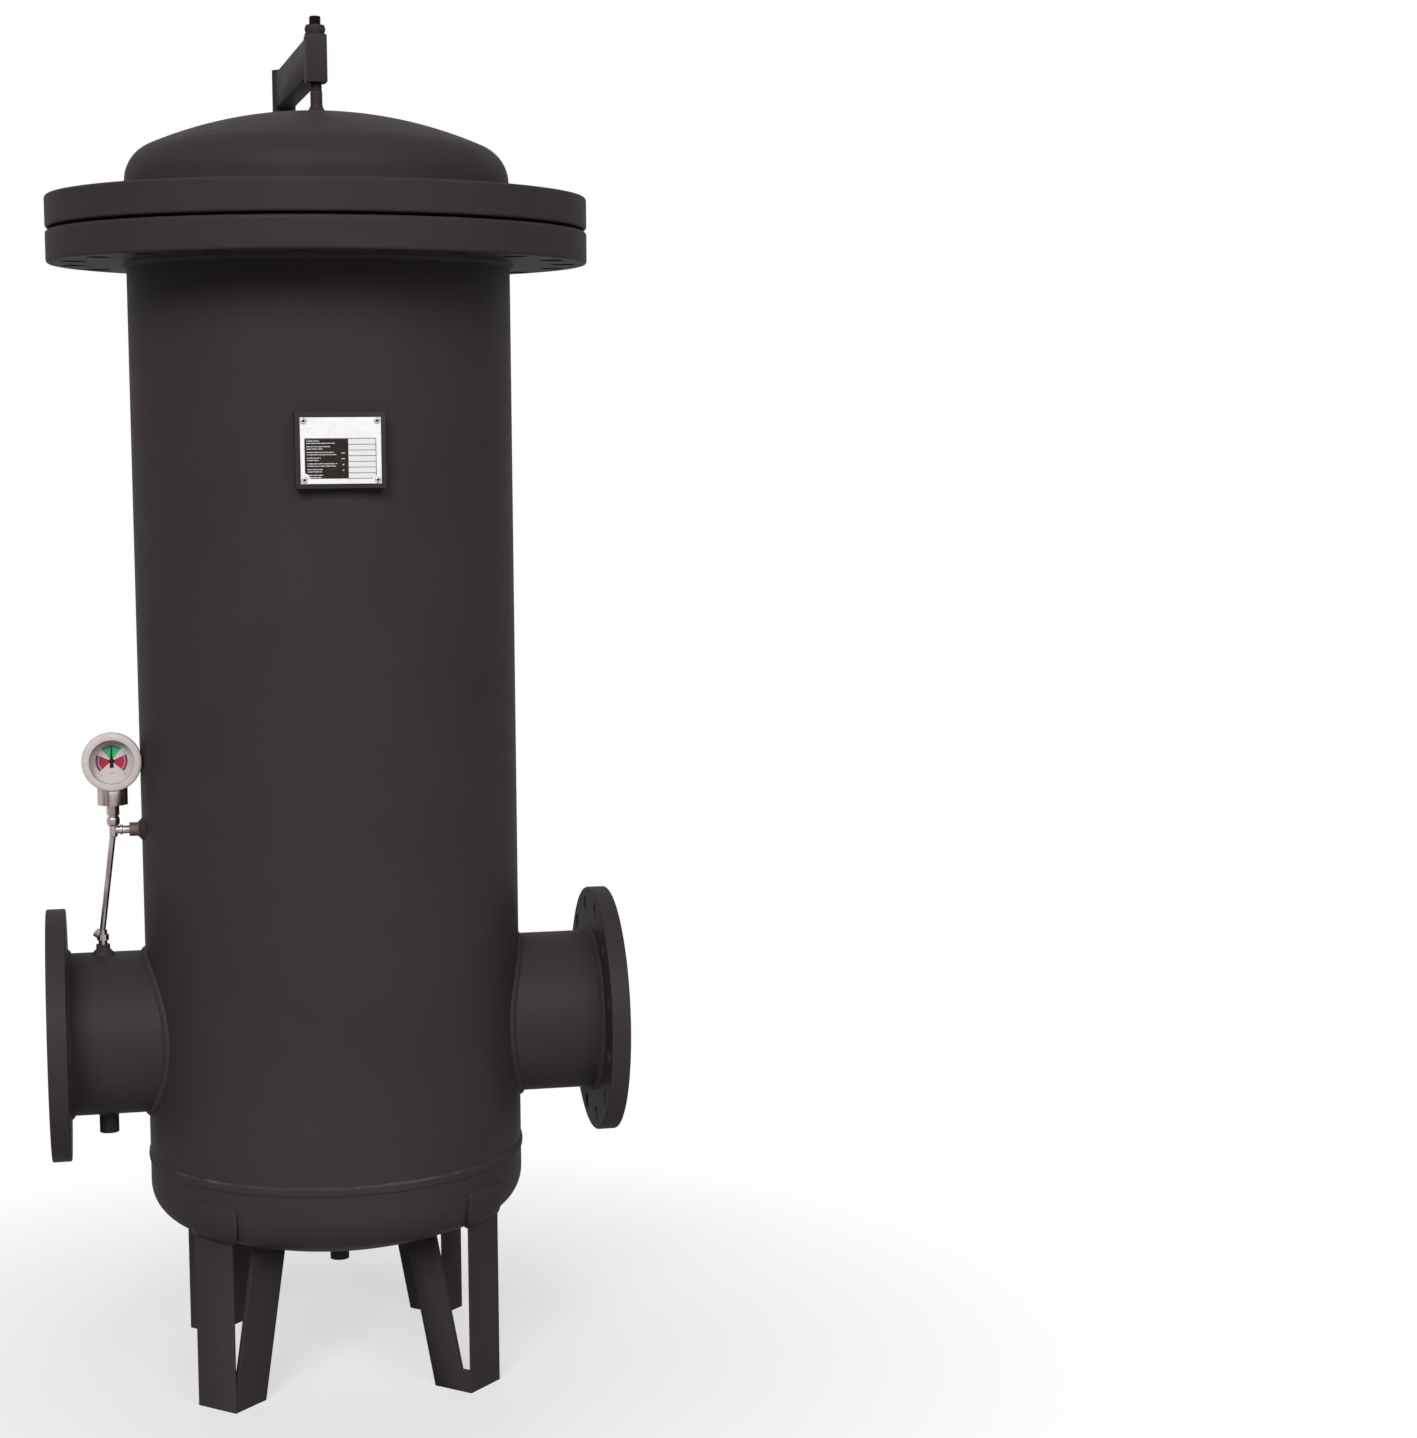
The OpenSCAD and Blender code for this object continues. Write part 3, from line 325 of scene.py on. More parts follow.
def matte_material(name, colour_a, colour_b, scale, roughness, grain, bump, distance, gloss=0.5):
    """Non-metal with two tones and a fine surface grain."""
    mat, tree, bsdf = new_material(name)
    coords = object_coords(tree)
    base = ramp(tree, noise(tree, coords, scale, 4, 0.6), [(0.35, colour_a), (0.65, colour_b)])
    tree.links.new(base, bsdf.inputs["Base Color"])
    bsdf.inputs["Roughness"].default_value = roughness
    bsdf.inputs["Specular IOR Level"].default_value = gloss
    add_bump(tree, bsdf, noise(tree, coords, grain, 5, 0.7), bump, distance)
    return mat


def print_material(name, colour_a, colour_b, scale=60, roughness=0.5, grain=700, bump=0.05):
    """Printed colour: smooth, with hardly any shine."""
    return matte_material(name, colour_a, colour_b, scale, roughness, grain, bump, 0.0001, gloss=0.1)


def glass_material(name):
    """Clear flat lens with a faint unevenness."""
    mat, tree, bsdf = new_material(name)
    coords = object_coords(tree)
    rough = to_range(tree, noise(tree, coords, 200, 3), 0.3, 0.7, 0.02, 0.06)
    tree.links.new(rough, bsdf.inputs["Roughness"])
    bsdf.inputs["IOR"].default_value = 1.45
    bsdf.inputs["Base Color"].default_value = (0.02, 0.02, 0.02, 1.0)
    bsdf.inputs["Alpha"].default_value = 0.07
    add_bump(tree, bsdf, noise(tree, coords, 30, 2), 0.02, 0.0002)
    return mat


def perforated_material(name):
    """Stainless sheet; the fine perforations between the modelled ones are dimples painted near-black:
    painted shade in the holes.
    """
    mat, tree, bsdf = new_material(name)
    coords = object_coords(tree)
    cells = tree.nodes.new("ShaderNodeTexVoronoi")
    cells.inputs["Scale"].default_value = 110
    cells.inputs["Randomness"].default_value = 0.15
    tree.links.new(coords, cells.inputs["Vector"])
    hole = to_range(tree, cells.outputs["Distance"], 0.26, 0.3, 1.0, 0.0)
    tone = ramp(tree, noise(tree, coords, 90, 4), [(0.3, STAINLESS_DARK), (0.7, STAINLESS_LIGHT)])
    # Near-black in each perforation: painted shade of the inside behind the hole
    tree.links.new(mix_colour(tree, hole, tone, srgb(28, 28, 28)), bsdf.inputs["Base Color"])
    bsdf.inputs["Metallic"].default_value = 1.0
    tree.links.new(to_range(tree, hole, 0, 1, 0.35, 0.8), bsdf.inputs["Roughness"])
    add_bump(tree, bsdf, math_node(tree, "SUBTRACT", noise(tree, coords, 300, 3), hole), 0.5, 0.001)
    return mat


def felt_material(name):
    """Needle felt: fibrous, off-white, slightly singed."""
    mat, tree, bsdf = new_material(name)
    coords = object_coords(tree)
    fibre = noise(tree, coords, 700, 6, 0.75, (1, 1, 0.45))
    base = ramp(tree, fibre, [(0.3, srgb(214, 208, 190)), (0.7, srgb(242, 239, 229))])
    singe = to_range(tree, noise(tree, coords, 24, 4, 0.6), 0.5, 0.75, 0.0, 0.3)
    tree.links.new(mix_colour(tree, singe, base, srgb(196, 182, 152)), bsdf.inputs["Base Color"])
    bsdf.inputs["Roughness"].default_value = 0.95
    bsdf.inputs["Sheen Weight"].default_value = 0.25
    add_bump(tree, bsdf, fibre, 0.8, 0.0012)
    return mat


ENAMEL_DARK = srgb(59, 52, 53)
ENAMEL_LIGHT = srgb(63, 56, 57)
ENAMEL_WELD = srgb(66, 59, 60)
STAINLESS_DARK = srgb(172, 171, 168)
STAINLESS_LIGHT = srgb(205, 204, 200)
WELD_PEEL = 0.6

# How far the gauge's socket is bare, and how far over the bottom seam its painted highlight line lies
BARE_END = 0.0125
SEAM_LINE = 0.0052

PAINT = paint_material("paint_dark", ENAMEL_DARK, ENAMEL_LIGHT)
WELD_PAINT = paint_material("paint_on_weld", ENAMEL_DARK, ENAMEL_WELD, WELD_PEEL)
COLLAR = bare_collar_material("bare_collar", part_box("shell_gauge_socket")[0].x + BARE_END, 0.0004)
SEAM_PAINT = rubbed_seam_material("paint_on_seam", SEAM_Z + SEAM_LINE, 0.0022)
THREAD = paint_material("black_thread", srgb(22, 20, 20), srgb(32, 29, 29), 0.5)
STEEL = metal_material("satin_steel", srgb(206, 192, 188), srgb(104, 92, 89), 0.24, 0.42,
                       scale=120, stretch=(1, 1, 0.03), bump=0.03)
DULL_STEEL = metal_material("zinc_steel", srgb(150, 146, 142), srgb(112, 108, 104), 0.4, 0.6)
STAINLESS = metal_material("pickled_stainless", STAINLESS_LIGHT, STAINLESS_DARK, 0.3, 0.5, scale=120)
NAMEPLATE = metal_material("brushed_plate", srgb(220, 220, 220), srgb(206, 206, 208), 0.34, 0.48,
                           scale=60, stretch=(1, 1, 30), bump=0.05)
RIVET = metal_material("rivet_aluminium", srgb(206, 200, 198), srgb(150, 142, 140), 0.3, 0.45, scale=700)
BEZEL = matte_material("brushed_bezel", srgb(205, 194, 191), srgb(214, 204, 201), 90, 0.5, 900, 0.25, 0.0002)
# Darker grey for the lining of the bezel's bore: a shaded copy of the bezel's tone, painted shade
SEAL = matte_material("bezel_bore_shade", srgb(140, 128, 125), srgb(156, 144, 141), 90, 0.6, 700, 0.05, 0.0001)
GASKET = matte_material("fibre_gasket", srgb(72, 74, 73), srgb(96, 98, 96), 90, 0.85, 700, 0.3, 0.0004)
RING = matte_material("moulded_ring", srgb(222, 220, 212), srgb(232, 230, 222), 30, 0.5, 500, 0.1, 0.0003)
DIAL_WHITE = print_material("dial_white", srgb(236, 227, 225), srgb(244, 236, 234), 40, 0.6, 600)
GREEN = print_material("print_green", srgb(80, 200, 124), srgb(92, 210, 134))
DEEP_GREEN = print_material("print_deep_green", srgb(82, 158, 150), srgb(92, 168, 158))
RED = print_material("print_red", srgb(198, 50, 80), srgb(210, 60, 92))
MAGENTA = print_material("print_magenta", srgb(168, 70, 112), srgb(178, 80, 122))
BLACK = print_material("print_black", srgb(38, 32, 31), srgb(50, 43, 41), 90, 0.55, 600, 0.1)
GREY_PRINT = print_material("print_grey", srgb(92, 80, 78), srgb(106, 94, 92), 90, 0.55, 600)
CELL_WHITE = print_material("print_white", srgb(246, 243, 242), srgb(250, 248, 247))
PALE_PRINT = print_material("print_pale", srgb(214, 206, 204), srgb(232, 226, 224), 200)
POINTER = print_material("pointer_black", srgb(14, 14, 14), srgb(22, 22, 22), 90, 0.5, 600, 0.1)
GLASS = glass_material("lens_glass")
FELT = felt_material("needle_felt")
PERFORATED = perforated_material("perforated_sheet")

SLOT_MATERIAL = {
    "paint": PAINT, "plug_steel": DULL_STEEL, "plate_steel": NAMEPLATE, "gasket": GASKET,
    "stainless": STAINLESS, "felt": FELT, "bag_ring": RING, "gauge_metal": STEEL,
    "dial": DIAL_WHITE, "lens": GLASS, "pointer": POINTER,
}
LEGS = ("leg_front_left", "leg_front_right", "leg_rear_left", "leg_rear_right")
EDGED = LEGS + (
    "nameplate_bracket", "davit_arm", "davit_block", "davit_bracket", "davit_collar", "lifting_nut",
    "gauge_base",
)
EDGE_WIDTH = 0.0009


def smooth_by_angle(obj, degrees=32):
    bpy.ops.object.select_all(action="DESELECT")
    obj.select_set(True)
    bpy.context.view_layer.objects.active = obj
    bpy.ops.object.shade_smooth_by_angle(angle=math.radians(degrees))


def finish_cad_nodes():
    """Gives every CAD node its finish and smooth shading between its true edges, and the nodes in EDGED
    small rounded edges.
    """
    slots = {p["node"]: p["material_slot"] for p in frame["record"]["subparts"]}
    for name, obj in NODES.items():
        material = SLOT_MATERIAL[slots[name]]
        if name.startswith("basket_") and name != "basket_plate":
            material = PERFORATED
        if name == "shell_gauge_socket":
            material = COLLAR
        obj.data.materials.clear()
        obj.data.materials.append(material)
        smooth_by_angle(obj)
        if name in EDGED:
            weld = obj.modifiers.new("join", "WELD")
            weld.merge_threshold = SAME_POINT
            bevel = obj.modifiers.new("edge", "BEVEL")
            bevel.width = EDGE_WIDTH
            bevel.segments = 3
            bevel.limit_method = "ANGLE"
            bevel.angle_limit = math.radians(40)
            bevel.harden_normals = True


# Mesh helpers; a shape is a pair of verts and faces
def piece(name, shape, material, body="vessel", smooth=40):
    """A new mesh object that rides on a body."""
    verts, faces = shape
    mesh = bpy.data.meshes.new(name)
    mesh.from_pydata([tuple(v) for v in verts], [], faces)
    bm = bmesh.new()
    bm.from_mesh(mesh)
    bmesh.ops.recalc_face_normals(bm, faces=bm.faces)
    bm.to_mesh(mesh)
    bm.free()
    mesh.materials.append(material)
    obj = bpy.data.objects.new(name, mesh)
    bpy.context.scene.collection.objects.link(obj)
    smooth_by_angle(obj, smooth)
    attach(obj, body)
    return obj


def joined(shapes):
    """Several shapes as one."""
    verts, faces = [], []
    for some_verts, some_faces in shapes:
        shift = len(verts)
        verts += list(some_verts)
        faces += [tuple(i + shift for i in face) for face in some_faces]
    return verts, faces


def strip_faces(rows, across, closed_rows, closed_across):
    """Quads of a grid of rows by across points."""
    faces = []
    for i in range(rows if closed_rows else rows - 1):
        for j in range(across if closed_across else across - 1):
            a, b = i * across + j, i * across + (j + 1) % across
            c = (i + 1) % rows * across
            faces.append((a, b, c + (j + 1) % across, c + j))
    return faces


def capped_faces(rows, across):
    """Quads of round rows, with a cap on the first and on the last."""
    caps = [tuple(range(across)), tuple(range((rows - 1) * across, rows * across))]
    return strip_faces(rows, across, False, True) + caps


def spin(profile, place, turn, count, ripple=(0.0, 0)):
    """A profile of (radius, height) spun round the local Z of turn; ripple is (depth, number) of flutes."""
    verts = []
    for radius, height in profile:
        for k in range(count):
            a = 2 * math.pi * k / count
            r = radius + ripple[0] * math.cos(ripple[1] * a)
            verts.append(Vector(place) + turn @ Vector((r * math.cos(a), r * math.sin(a), height)))
    return verts


def lathe(profile, place, turn, count, ripple=(0.0, 0)):
    """A spun profile, closed at both ends."""
    return spin(profile, place, turn, count, ripple), capped_faces(len(profile), count)


def spun_ring(profile, place, turn, count):
    """A closed profile, spun."""
    return spin(profile, place, turn, count), strip_faces(len(profile), count, True, True)


def slab(points, depth, to_world):
    """A flat outline of (x, y) points as a thin closed plate; to_world(x, y, height) places a point."""
    count = len(points)
    verts = [to_world(x, y, 0) for x, y in points] + [to_world(x, y, depth) for x, y in points]
    faces = [tuple(range(count)), tuple(range(count, 2 * count))]
    faces += [(k, (k + 1) % count, count + (k + 1) % count, count + k) for k in range(count)]
    return verts, faces


def sector(r0, r1, a0, a1, count=24):
    """Outline of a ring sector; angles in degrees, clockwise from straight up."""
    def at(r, a):
        return (r * math.sin(math.radians(a)), r * math.cos(math.radians(a)))

    outer = [at(r1, a0 + (a1 - a0) * i / count) for i in range(count + 1)]
    inner = [at(r0, a1 + (a0 - a1) * i / count) for i in range(count + 1)]
    return outer + inner


def box_outline(x0, y0, x1, y1):
    return [(x0, y0), (x1, y0), (x1, y1), (x0, y1)]


def bead(path, outward, size, closed, pitch=0.0042, across=11, chevron=0.35):
    """A rippled weld bead along path; outward is the free direction at each point."""
    width, height = size
    toe_depth = 0.0006
    verts = []
    count = len(path)
    travelled = 0.0
    for i, (point, out) in enumerate(zip(path, outward)):
        ahead = path[(i + 1) % count] if closed or i < count - 1 else point
        behind = path[i - 1] if closed or i > 0 else point
        along = (ahead - behind).normalized()
        out = (out - along * out.dot(along)).normalized()
        side = along.cross(out)
        if i > 0:
            travelled += (point - path[i - 1]).length
        wander = 0.05 * math.sin(travelled * 61) + 0.04 * math.sin(travelled * 143 + 1)
        for j in range(across):
            turn = math.pi * j / (across - 1)
            edge = math.cos(turn)
            phase = 2 * math.pi * (travelled + chevron * width * edge * edge) / pitch
            ripple = 1 + 0.13 * math.sin(phase) * math.sin(turn)
            lift = height * (math.sin(turn) ** 0.8) * ripple - (toe_depth if j in (0, across - 1) else 0)
            verts.append(point + side * (width / 2 * edge * (1 + wander)) + out * lift)
    return verts, strip_faces(count, across, closed, False)


def ring_bead(centre, axis, radius, lean, size, count):
    """A bead round a circle; lean is added to the direction away from its centre."""
    start = axis.orthogonal().normalized()
    path, out = [], []
    for i in range(count):
        spoke = Matrix.Rotation(2 * math.pi * i / count, 3, axis) @ start
        path.append(centre + spoke * radius)
        out.append(spoke + lean)
    return bead(path, out, size, True)


def branch_bead(side, count):
    """A bead along the curve where a nozzle's pipe meets the shell, at side -1 or 1 of the axis."""
    path, out = [], []
    for i in range(count):
        turn = 2 * math.pi * i / count
        y, z = PIPE_R * math.sin(turn), PIPE_R * math.cos(turn)
        x = side * math.sqrt(SHELL_R ** 2 - y * y)
        shell_out = Vector((x / SHELL_R, y / SHELL_R, 0))
        pipe_out = Vector((0, math.sin(turn), math.cos(turn)))
        path.append(AXIS + Vector((x, y, NOZZLE_Z + z)) + (shell_out + pipe_out) * BRANCH_STAND_OFF)
        out.append(shell_out + pipe_out)
    return bead(path, out, BRANCH_BEAD, True)


def add_welds():
    """Rippled beads in place of the CAD model's plain fillets."""
    shape = ring_bead(AXIS + UP * SEAM_Z, UP, SHELL_R, Vector(), SEAM_BEAD, SEAM_POINTS)
    obj = piece("bottom_seam_bead", shape, SEAM_PAINT, smooth=BEAD_SMOOTH)
    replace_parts(obj, "bottom_seam_weld")

    centre = AXIS + UP * (BODY_FLANGE_Z - FLANGE_STAND_OFF)
    shape = ring_bead(centre, UP, SHELL_R + FLANGE_STAND_OFF, -UP, FLANGE_BEAD, FLANGE_POINTS)
    obj = piece("body_flange_bead", shape, WELD_PAINT, smooth=BEAD_SMOOTH)
    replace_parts(obj, "body_flange_weld")

    centre = AXIS + UP * (COVER_TOP_Z + COVER_STAND_OFF)
    shape = ring_bead(centre, UP, SHELL_R + COVER_STAND_OFF, UP, COVER_BEAD, FLANGE_POINTS)
    obj = piece("cover_bead", shape, WELD_PAINT, "cover", smooth=BEAD_SMOOTH)
    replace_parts(obj, "cover_seam_weld")

    for side, name in ((-1, "inlet"), (1, "outlet")):
        along = Vector((side, 0, 0))
        back = AXIS + Vector((FLANGE_BACK_X[name], 0, NOZZLE_Z)) - along * FLANGE_STAND_OFF
        radius = PIPE_R + FLANGE_STAND_OFF
        flange = ring_bead(back, Vector((1, 0, 0)), radius, -along, FLANGE_BEAD, NOZZLE_POINTS)
        shape = joined([flange, branch_bead(side, BRANCH_POINTS)])
        obj = piece(name + "_beads", shape, WELD_PAINT, smooth=BEAD_SMOOTH)
        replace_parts(obj, name + "_welds")


# Welds where a plate meets a round body: beads along the edges of the plate's contact faces
def head_contact(point):
    """Distance of a point from the outside of the bottom head and shell, and the outward direction there."""
    flat = Vector((point.x - AXIS.x, point.y - AXIS.y, 0))
    r = flat.length
    if point.z >= TANGENT_Z:
        return r - SHELL_R, flat / r
    if r - KNUCKLE_AT > (TANGENT_Z - point.z) * KNUCKLE_SLOPE:
        off = UP * (point.z - TANGENT_Z) + flat / r * (r - KNUCKLE_AT)
        return off.length - KNUCKLE_R, off.normalized()
    off = Vector((flat.x, flat.y, point.z - CROWN_AT))
    return off.length - CROWN_R, off.normalized()


def post_contact(point):
    """The same for the davit's socket."""
    flat = Vector((point.x - POST.x, point.y - POST.y, 0))
    return flat.length - POST_R, flat.normalized()


def contact_edges(bm, contact):
    """Edges where side faces meet a surface: each vertex's neighbours, with the free direction there."""
    near = {v: abs(contact(v.co)[0]) < ON_SURFACE for v in bm.verts}

    def lies_on(face):
        centre = face.calc_center_median()
        return all(near[v] for v in face.verts) and face.normal.dot(contact(centre)[1]) < -0.8

    links = {}
    for edge in bm.edges:
        if len(edge.link_faces) != 2 or not (near[edge.verts[0]] and near[edge.verts[1]]):
            continue
        on = [lies_on(f) for f in edge.link_faces]
        if on[0] == on[1]:
            continue
        side = edge.link_faces[1 if on[0] else 0].normal.copy()
        a, b = edge.verts
        links.setdefault(a, []).append((b, side))
        links.setdefault(b, []).append((a, side))
    return links


def contact_chains(node, contact):
    """The contact edges of a node as chains of (point, free direction)."""
    bm = bmesh.new()
    bm.from_mesh(NODES[node].data)
    bm.transform(NODES[node].matrix_world)
    bmesh.ops.remove_doubles(bm, verts=bm.verts, dist=SAME_POINT)
    bm.normal_update()
    links = contact_edges(bm, contact)
    chains, used = [], set()
    for start in sorted(links, key=lambda v: (len(links[v]) != 1, v.index)):
        for first, side in links[start]:
            if frozenset((start, first)) in used:
                continue
            chain = [(start.co.copy(), side)]
            here = first
            used.add(frozenset((start, first)))
            while True:
                onward = [(v, s) for v, s in links[here] if frozenset((here, v)) not in used]
                chain.append((here.co.copy(), onward[0][1] if onward else chain[-1][1]))
                if not onward:
                    break
                used.add(frozenset((here, onward[0][0])))
                here = onward[0][0]
            chains.append(chain)
    bm.free()
    return chains


def contact_bead(chain, contact, size, step=0.0009):
    """A bead along one chain."""
    path, out = [], []
    for (p, side), (q, next_side) in zip(chain, chain[1:]):
        count = max(1, round((q - p).length / step))
        for i in range(count):
            point = p.lerp(q, i / count)
            distance, normal = contact(point)
            free = (side.lerp(next_side, i / count) + normal * 0.8).normalized()
            path.append(point - normal * distance + free * PLATE_STAND_OFF)
            out.append(free)
    return bead(path, out, size, False)


def add_plate_welds():
    """Beads round the legs' tops and laps, and round the davit's ribs."""
    shortest = 0.012
    jobs = [(leg, head_contact, LEG_BEAD) for leg in LEGS]
    jobs.append(("davit_bracket", head_contact, RIB_TO_SHELL_BEAD))
    jobs.append(("davit_bracket", post_contact, RIB_TO_POST_BEAD))
    beads = []
    for node, contact, size in jobs:
        for chain in contact_chains(node, contact):
            if sum((q[0] - p[0]).length for p, q in zip(chain, chain[1:])) > shortest:
                beads.append(contact_bead(chain, contact, size))
    piece("plate_weld_beads", joined(beads), WELD_PAINT, smooth=BEAD_SMOOTH)


def add_rod():
    """Lifting rod: a flared weld on the crown, a short painted shank, and a real thread above it."""
    lo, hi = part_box("lifting_rod")
    crown_z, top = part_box("cover_head")[1].z, hi.z
    r, pitch, thread_depth, thread_rows, sides = 0.008, 0.002, 0.0011, 8, 40
    flare_foot_r, shank_h, thread_end, tip_chamfer = 0.0155, 0.026, 0.0014, 0.0012
    flare = [(0.0148, 0.0004), (0.0118, 0.0022), (0.0096, 0.0052), (0.0083, 0.0086), (r, 0.011),
             (r, shank_h)]
    rows = [(flare_foot_r, lo.z, 0.0)] + [(radius, crown_z + height, 0.0) for radius, height in flare]
    thread_z = z = crown_z + shank_h
    while z < top - thread_end:
        z += pitch / thread_rows
        rows.append((r, z, thread_depth * min(1.0, (z - thread_z) / pitch)))
    rows += [(r - tip_chamfer, top - 0.0003, 0.0), (r - 0.0016, top, 0.0), (0.001, top, 0.0)]
    verts = []
    for radius, z, cut in rows:
        for k in range(sides):
            a = 2 * math.pi * k / sides
            ridge = abs(((z / pitch - k / sides) % 1.0) * 2 - 1)
            verts.append(AXIS + UP * z + Vector((math.cos(a), math.sin(a), 0)) * (radius - cut * ridge))
    shape = (verts, capped_faces(len(rows), sides))
    obj = piece("lifting_rod_threaded", shape, THREAD, "cover", smooth=50)
    obj.data.materials.append(PAINT)
    painted_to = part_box("davit_block")[0].z - 0.002
    for face in obj.data.polygons:
        face.material_index = 1 if face.center.z < painted_to else 0
    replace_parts(obj, "lifting_rod")


# Gauge: printed dial, bezel with a darker lining in its bore as painted shade, turned stem, vent screw
def on_dial(x, y, height):
    """Dial millimetres, to the right and up as one reads it; height stands off towards the reader."""
    return Vector((DIAL.x + x * MM, DIAL.y - height * MM, DIAL.z + y * MM))


def print_piece(name, outlines, material, place, off=PRINT_OFF, thick=PRINT_THICK):
    """Flat outlines, in millimetres, as one thin print on a face."""
    shapes = [slab(o, thick, lambda x, y, h: place(x, y, off + h)) for o in outlines]
    return piece(name, joined(shapes), material, smooth=FLAT_SMOOTH)


def tick(angle, r0, r1, width):
    """A radial mark on the dial as a slim outline."""
    a = math.radians(angle)
    out = Vector((math.sin(a), math.cos(a)))
    side = Vector((math.cos(a), -math.sin(a))) * (width / 2)
    return [tuple(out * r + side * s) for r, s in ((r0, -1), (r0, 1), (r1, 1), (r1, -1))]


def add_gauge_print():
    """Green range at the top, a red one at each side with its band and lines, ticks round the scale."""
    hub, green_r, red_r, band_lo, band_hi, line = 2.6, 17.2, 16.4, 17.9, 20.7, 0.35
    green_half, red_from, red_sweep = 38, 66, 66

    def both_sides(r0, r1):
        return [sector(r0, r1, a, a + red_sweep) for a in (red_from, -red_from - red_sweep)]

    print_piece("dial_green", [sector(hub, green_r, -green_half, green_half)], GREEN, on_dial)
    rim = [sector(17.4, 21.5, -green_half, green_half)]
    print_piece("dial_green_rim", rim, DEEP_GREEN, on_dial)
    print_piece("dial_red", both_sides(hub, red_r), RED, on_dial)
    print_piece("dial_magenta", both_sides(band_lo, band_hi), MAGENTA, on_dial)
    lines = both_sides(red_r, red_r + line) + both_sides(band_lo - line, band_lo)
    lines += both_sides(band_hi, 21.1)
    print_piece("dial_lines", lines, BLACK, on_dial, off=0.03)
    scale_from, scale_sweep, steps, longer_every = -135, 270, 20, 5
    ticks = []
    for i in range(steps + 1):
        tip, width = (24.6, 0.42) if i % longer_every == 0 else (23.8, 0.26)
        ticks.append(tick(scale_from + scale_sweep * i / steps, 22.4, tip, width))
    print_piece("dial_ticks", ticks, GREY_PRINT, on_dial)
    marks = [box_outline(x - 0.55, -16.6, x + 0.55, -15.6) for x in (-2.2, -0.4, 1.8, 3.4)]
    marks += [box_outline(-14.6, -20.2, -12.6, -19.2), box_outline(16.8, -19.4, 18.8, -18.4)]
    print_piece("dial_marks", marks, GREY_PRINT, on_dial)


def add_bezel():
    """Broad flat ring with rounded rims, and inside it a thin darker ring lining its bore: painted shade on
    the bore's wall.
    """
    count, face_width, seal_thick = 160, 0.0102, 0.0004
    centre = Vector((DIAL.x, bezel_lo.y, DIAL.z))
    rim = (bezel_hi.x - bezel_lo.x) / 2
    bore = rim - face_width
    back = bezel_lo.y - bezel_hi.y
    profile = [(bore + 0.0003, back + 0.0093), (bore + 0.0003, -0.0012), (bore + 0.0004, -0.0006),
               (bore + 0.0006, -0.0002), (bore + 0.0009, 0.0), (bore + 0.0026, 0.0001), (rim - 0.0034, 0.0),
               (rim - 0.0018, -0.0004), (rim - 0.0006, -0.0014), (rim - 0.0001, -0.003), (rim, -0.0045),
               (rim, back + 0.0016), (rim - 0.0004, back + 0.0005), (rim - 0.0012, back),
               (rim - 0.0024, back)]
    ring = spun_ring(profile, centre, TO_READER, count)
    obj = piece("gauge_bezel_ring", ring, BEZEL, smooth=FLAT_SMOOTH)
    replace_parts(obj, "gauge_bezel")
    # Thin darker ring over the bore's wall: painted shade
    seal = box_outline(bore, back + 0.0094, bore + seal_thick, -0.0009)
    piece("bezel_bore_shade", spun_ring(seal, centre, TO_READER, count), SEAL, smooth=FLAT_SMOOTH)


def add_stem():
    """Turned stem with a ball nut, and the tee's arm to the right; heights are from the arm's line."""
    lo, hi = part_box("gauge_stem")
    tee_lo, tee_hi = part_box("gauge_tee")
    line_z = tee_lo.z + (tee_hi.y - tee_lo.y) / 2
    place = Vector(((lo.x + hi.x) / 2, (lo.y + hi.y) / 2, line_z))
    top = hi.z - line_z
    profile = [(0.0005, top), (0.0085, top), (0.0085, 0.0208), (0.0081, 0.0202), (0.0068, 0.02),
               (0.0068, 0.0184), (0.0076, 0.0176), (0.0084, 0.0158), (0.0087, 0.0136), (0.0087, 0.0108),
               (0.0084, 0.0086), (0.0076, 0.0066), (0.0066, 0.0056), (0.0056, 0.0053), (0.0056, -0.0064),
               (0.0052, -0.0082), (0.0044, -0.0094), (0.0005, -0.0097)]
    upright = lathe(profile, place, Matrix.Identity(3), count=64)
    end = tee_hi.x - place.x
    profile = [(0.0005, 0.003), (0.0054, 0.003), (0.0054, 0.0085), (0.0066, 0.0089), (0.0069, 0.0096),
               (0.0069, end - 0.0007), (0.0064, end), (0.0005, end)]
    arm = lathe(profile, place, TO_RIGHT, count=48)
    obj = piece("gauge_stem_turned", joined([upright, arm]), STEEL)
    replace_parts(obj, "gauge_stem", "gauge_tee")


def add_vent_screw():
    """A knurled screw on a short stub, leaning out of the lower fitting."""
    lo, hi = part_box("tube_fitting")
    place = (lo + hi) / 2
    tilt = Matrix.Rotation(math.radians(-52), 3, "Y")
    profile = [(0.0005, 0.002), (0.0034, 0.002), (0.0034, 0.0062), (0.0005, 0.0062)]
    stub = lathe(profile, place, tilt, count=32)
    profile = [(0.0049, 0.006), (0.0055, 0.0064), (0.0056, 0.0076), (0.0056, 0.0108), (0.0055, 0.0119),
               (0.0049, 0.0124)]
    knob = lathe(profile, place, tilt, count=48, ripple=(0.0003, 16))
    piece("vent_screw", joined([stub, knob]), STEEL)


# Nameplate: bare band above, a dark table with unreadable lines, white cells, four blind rivets
def on_plate(x, y, height):
    """Nameplate millimetres from its upper left corner, y down; height stands off its face."""
    return Vector((plate_lo.x + x * MM, plate_lo.y - height * MM, plate_hi.z - y * MM))


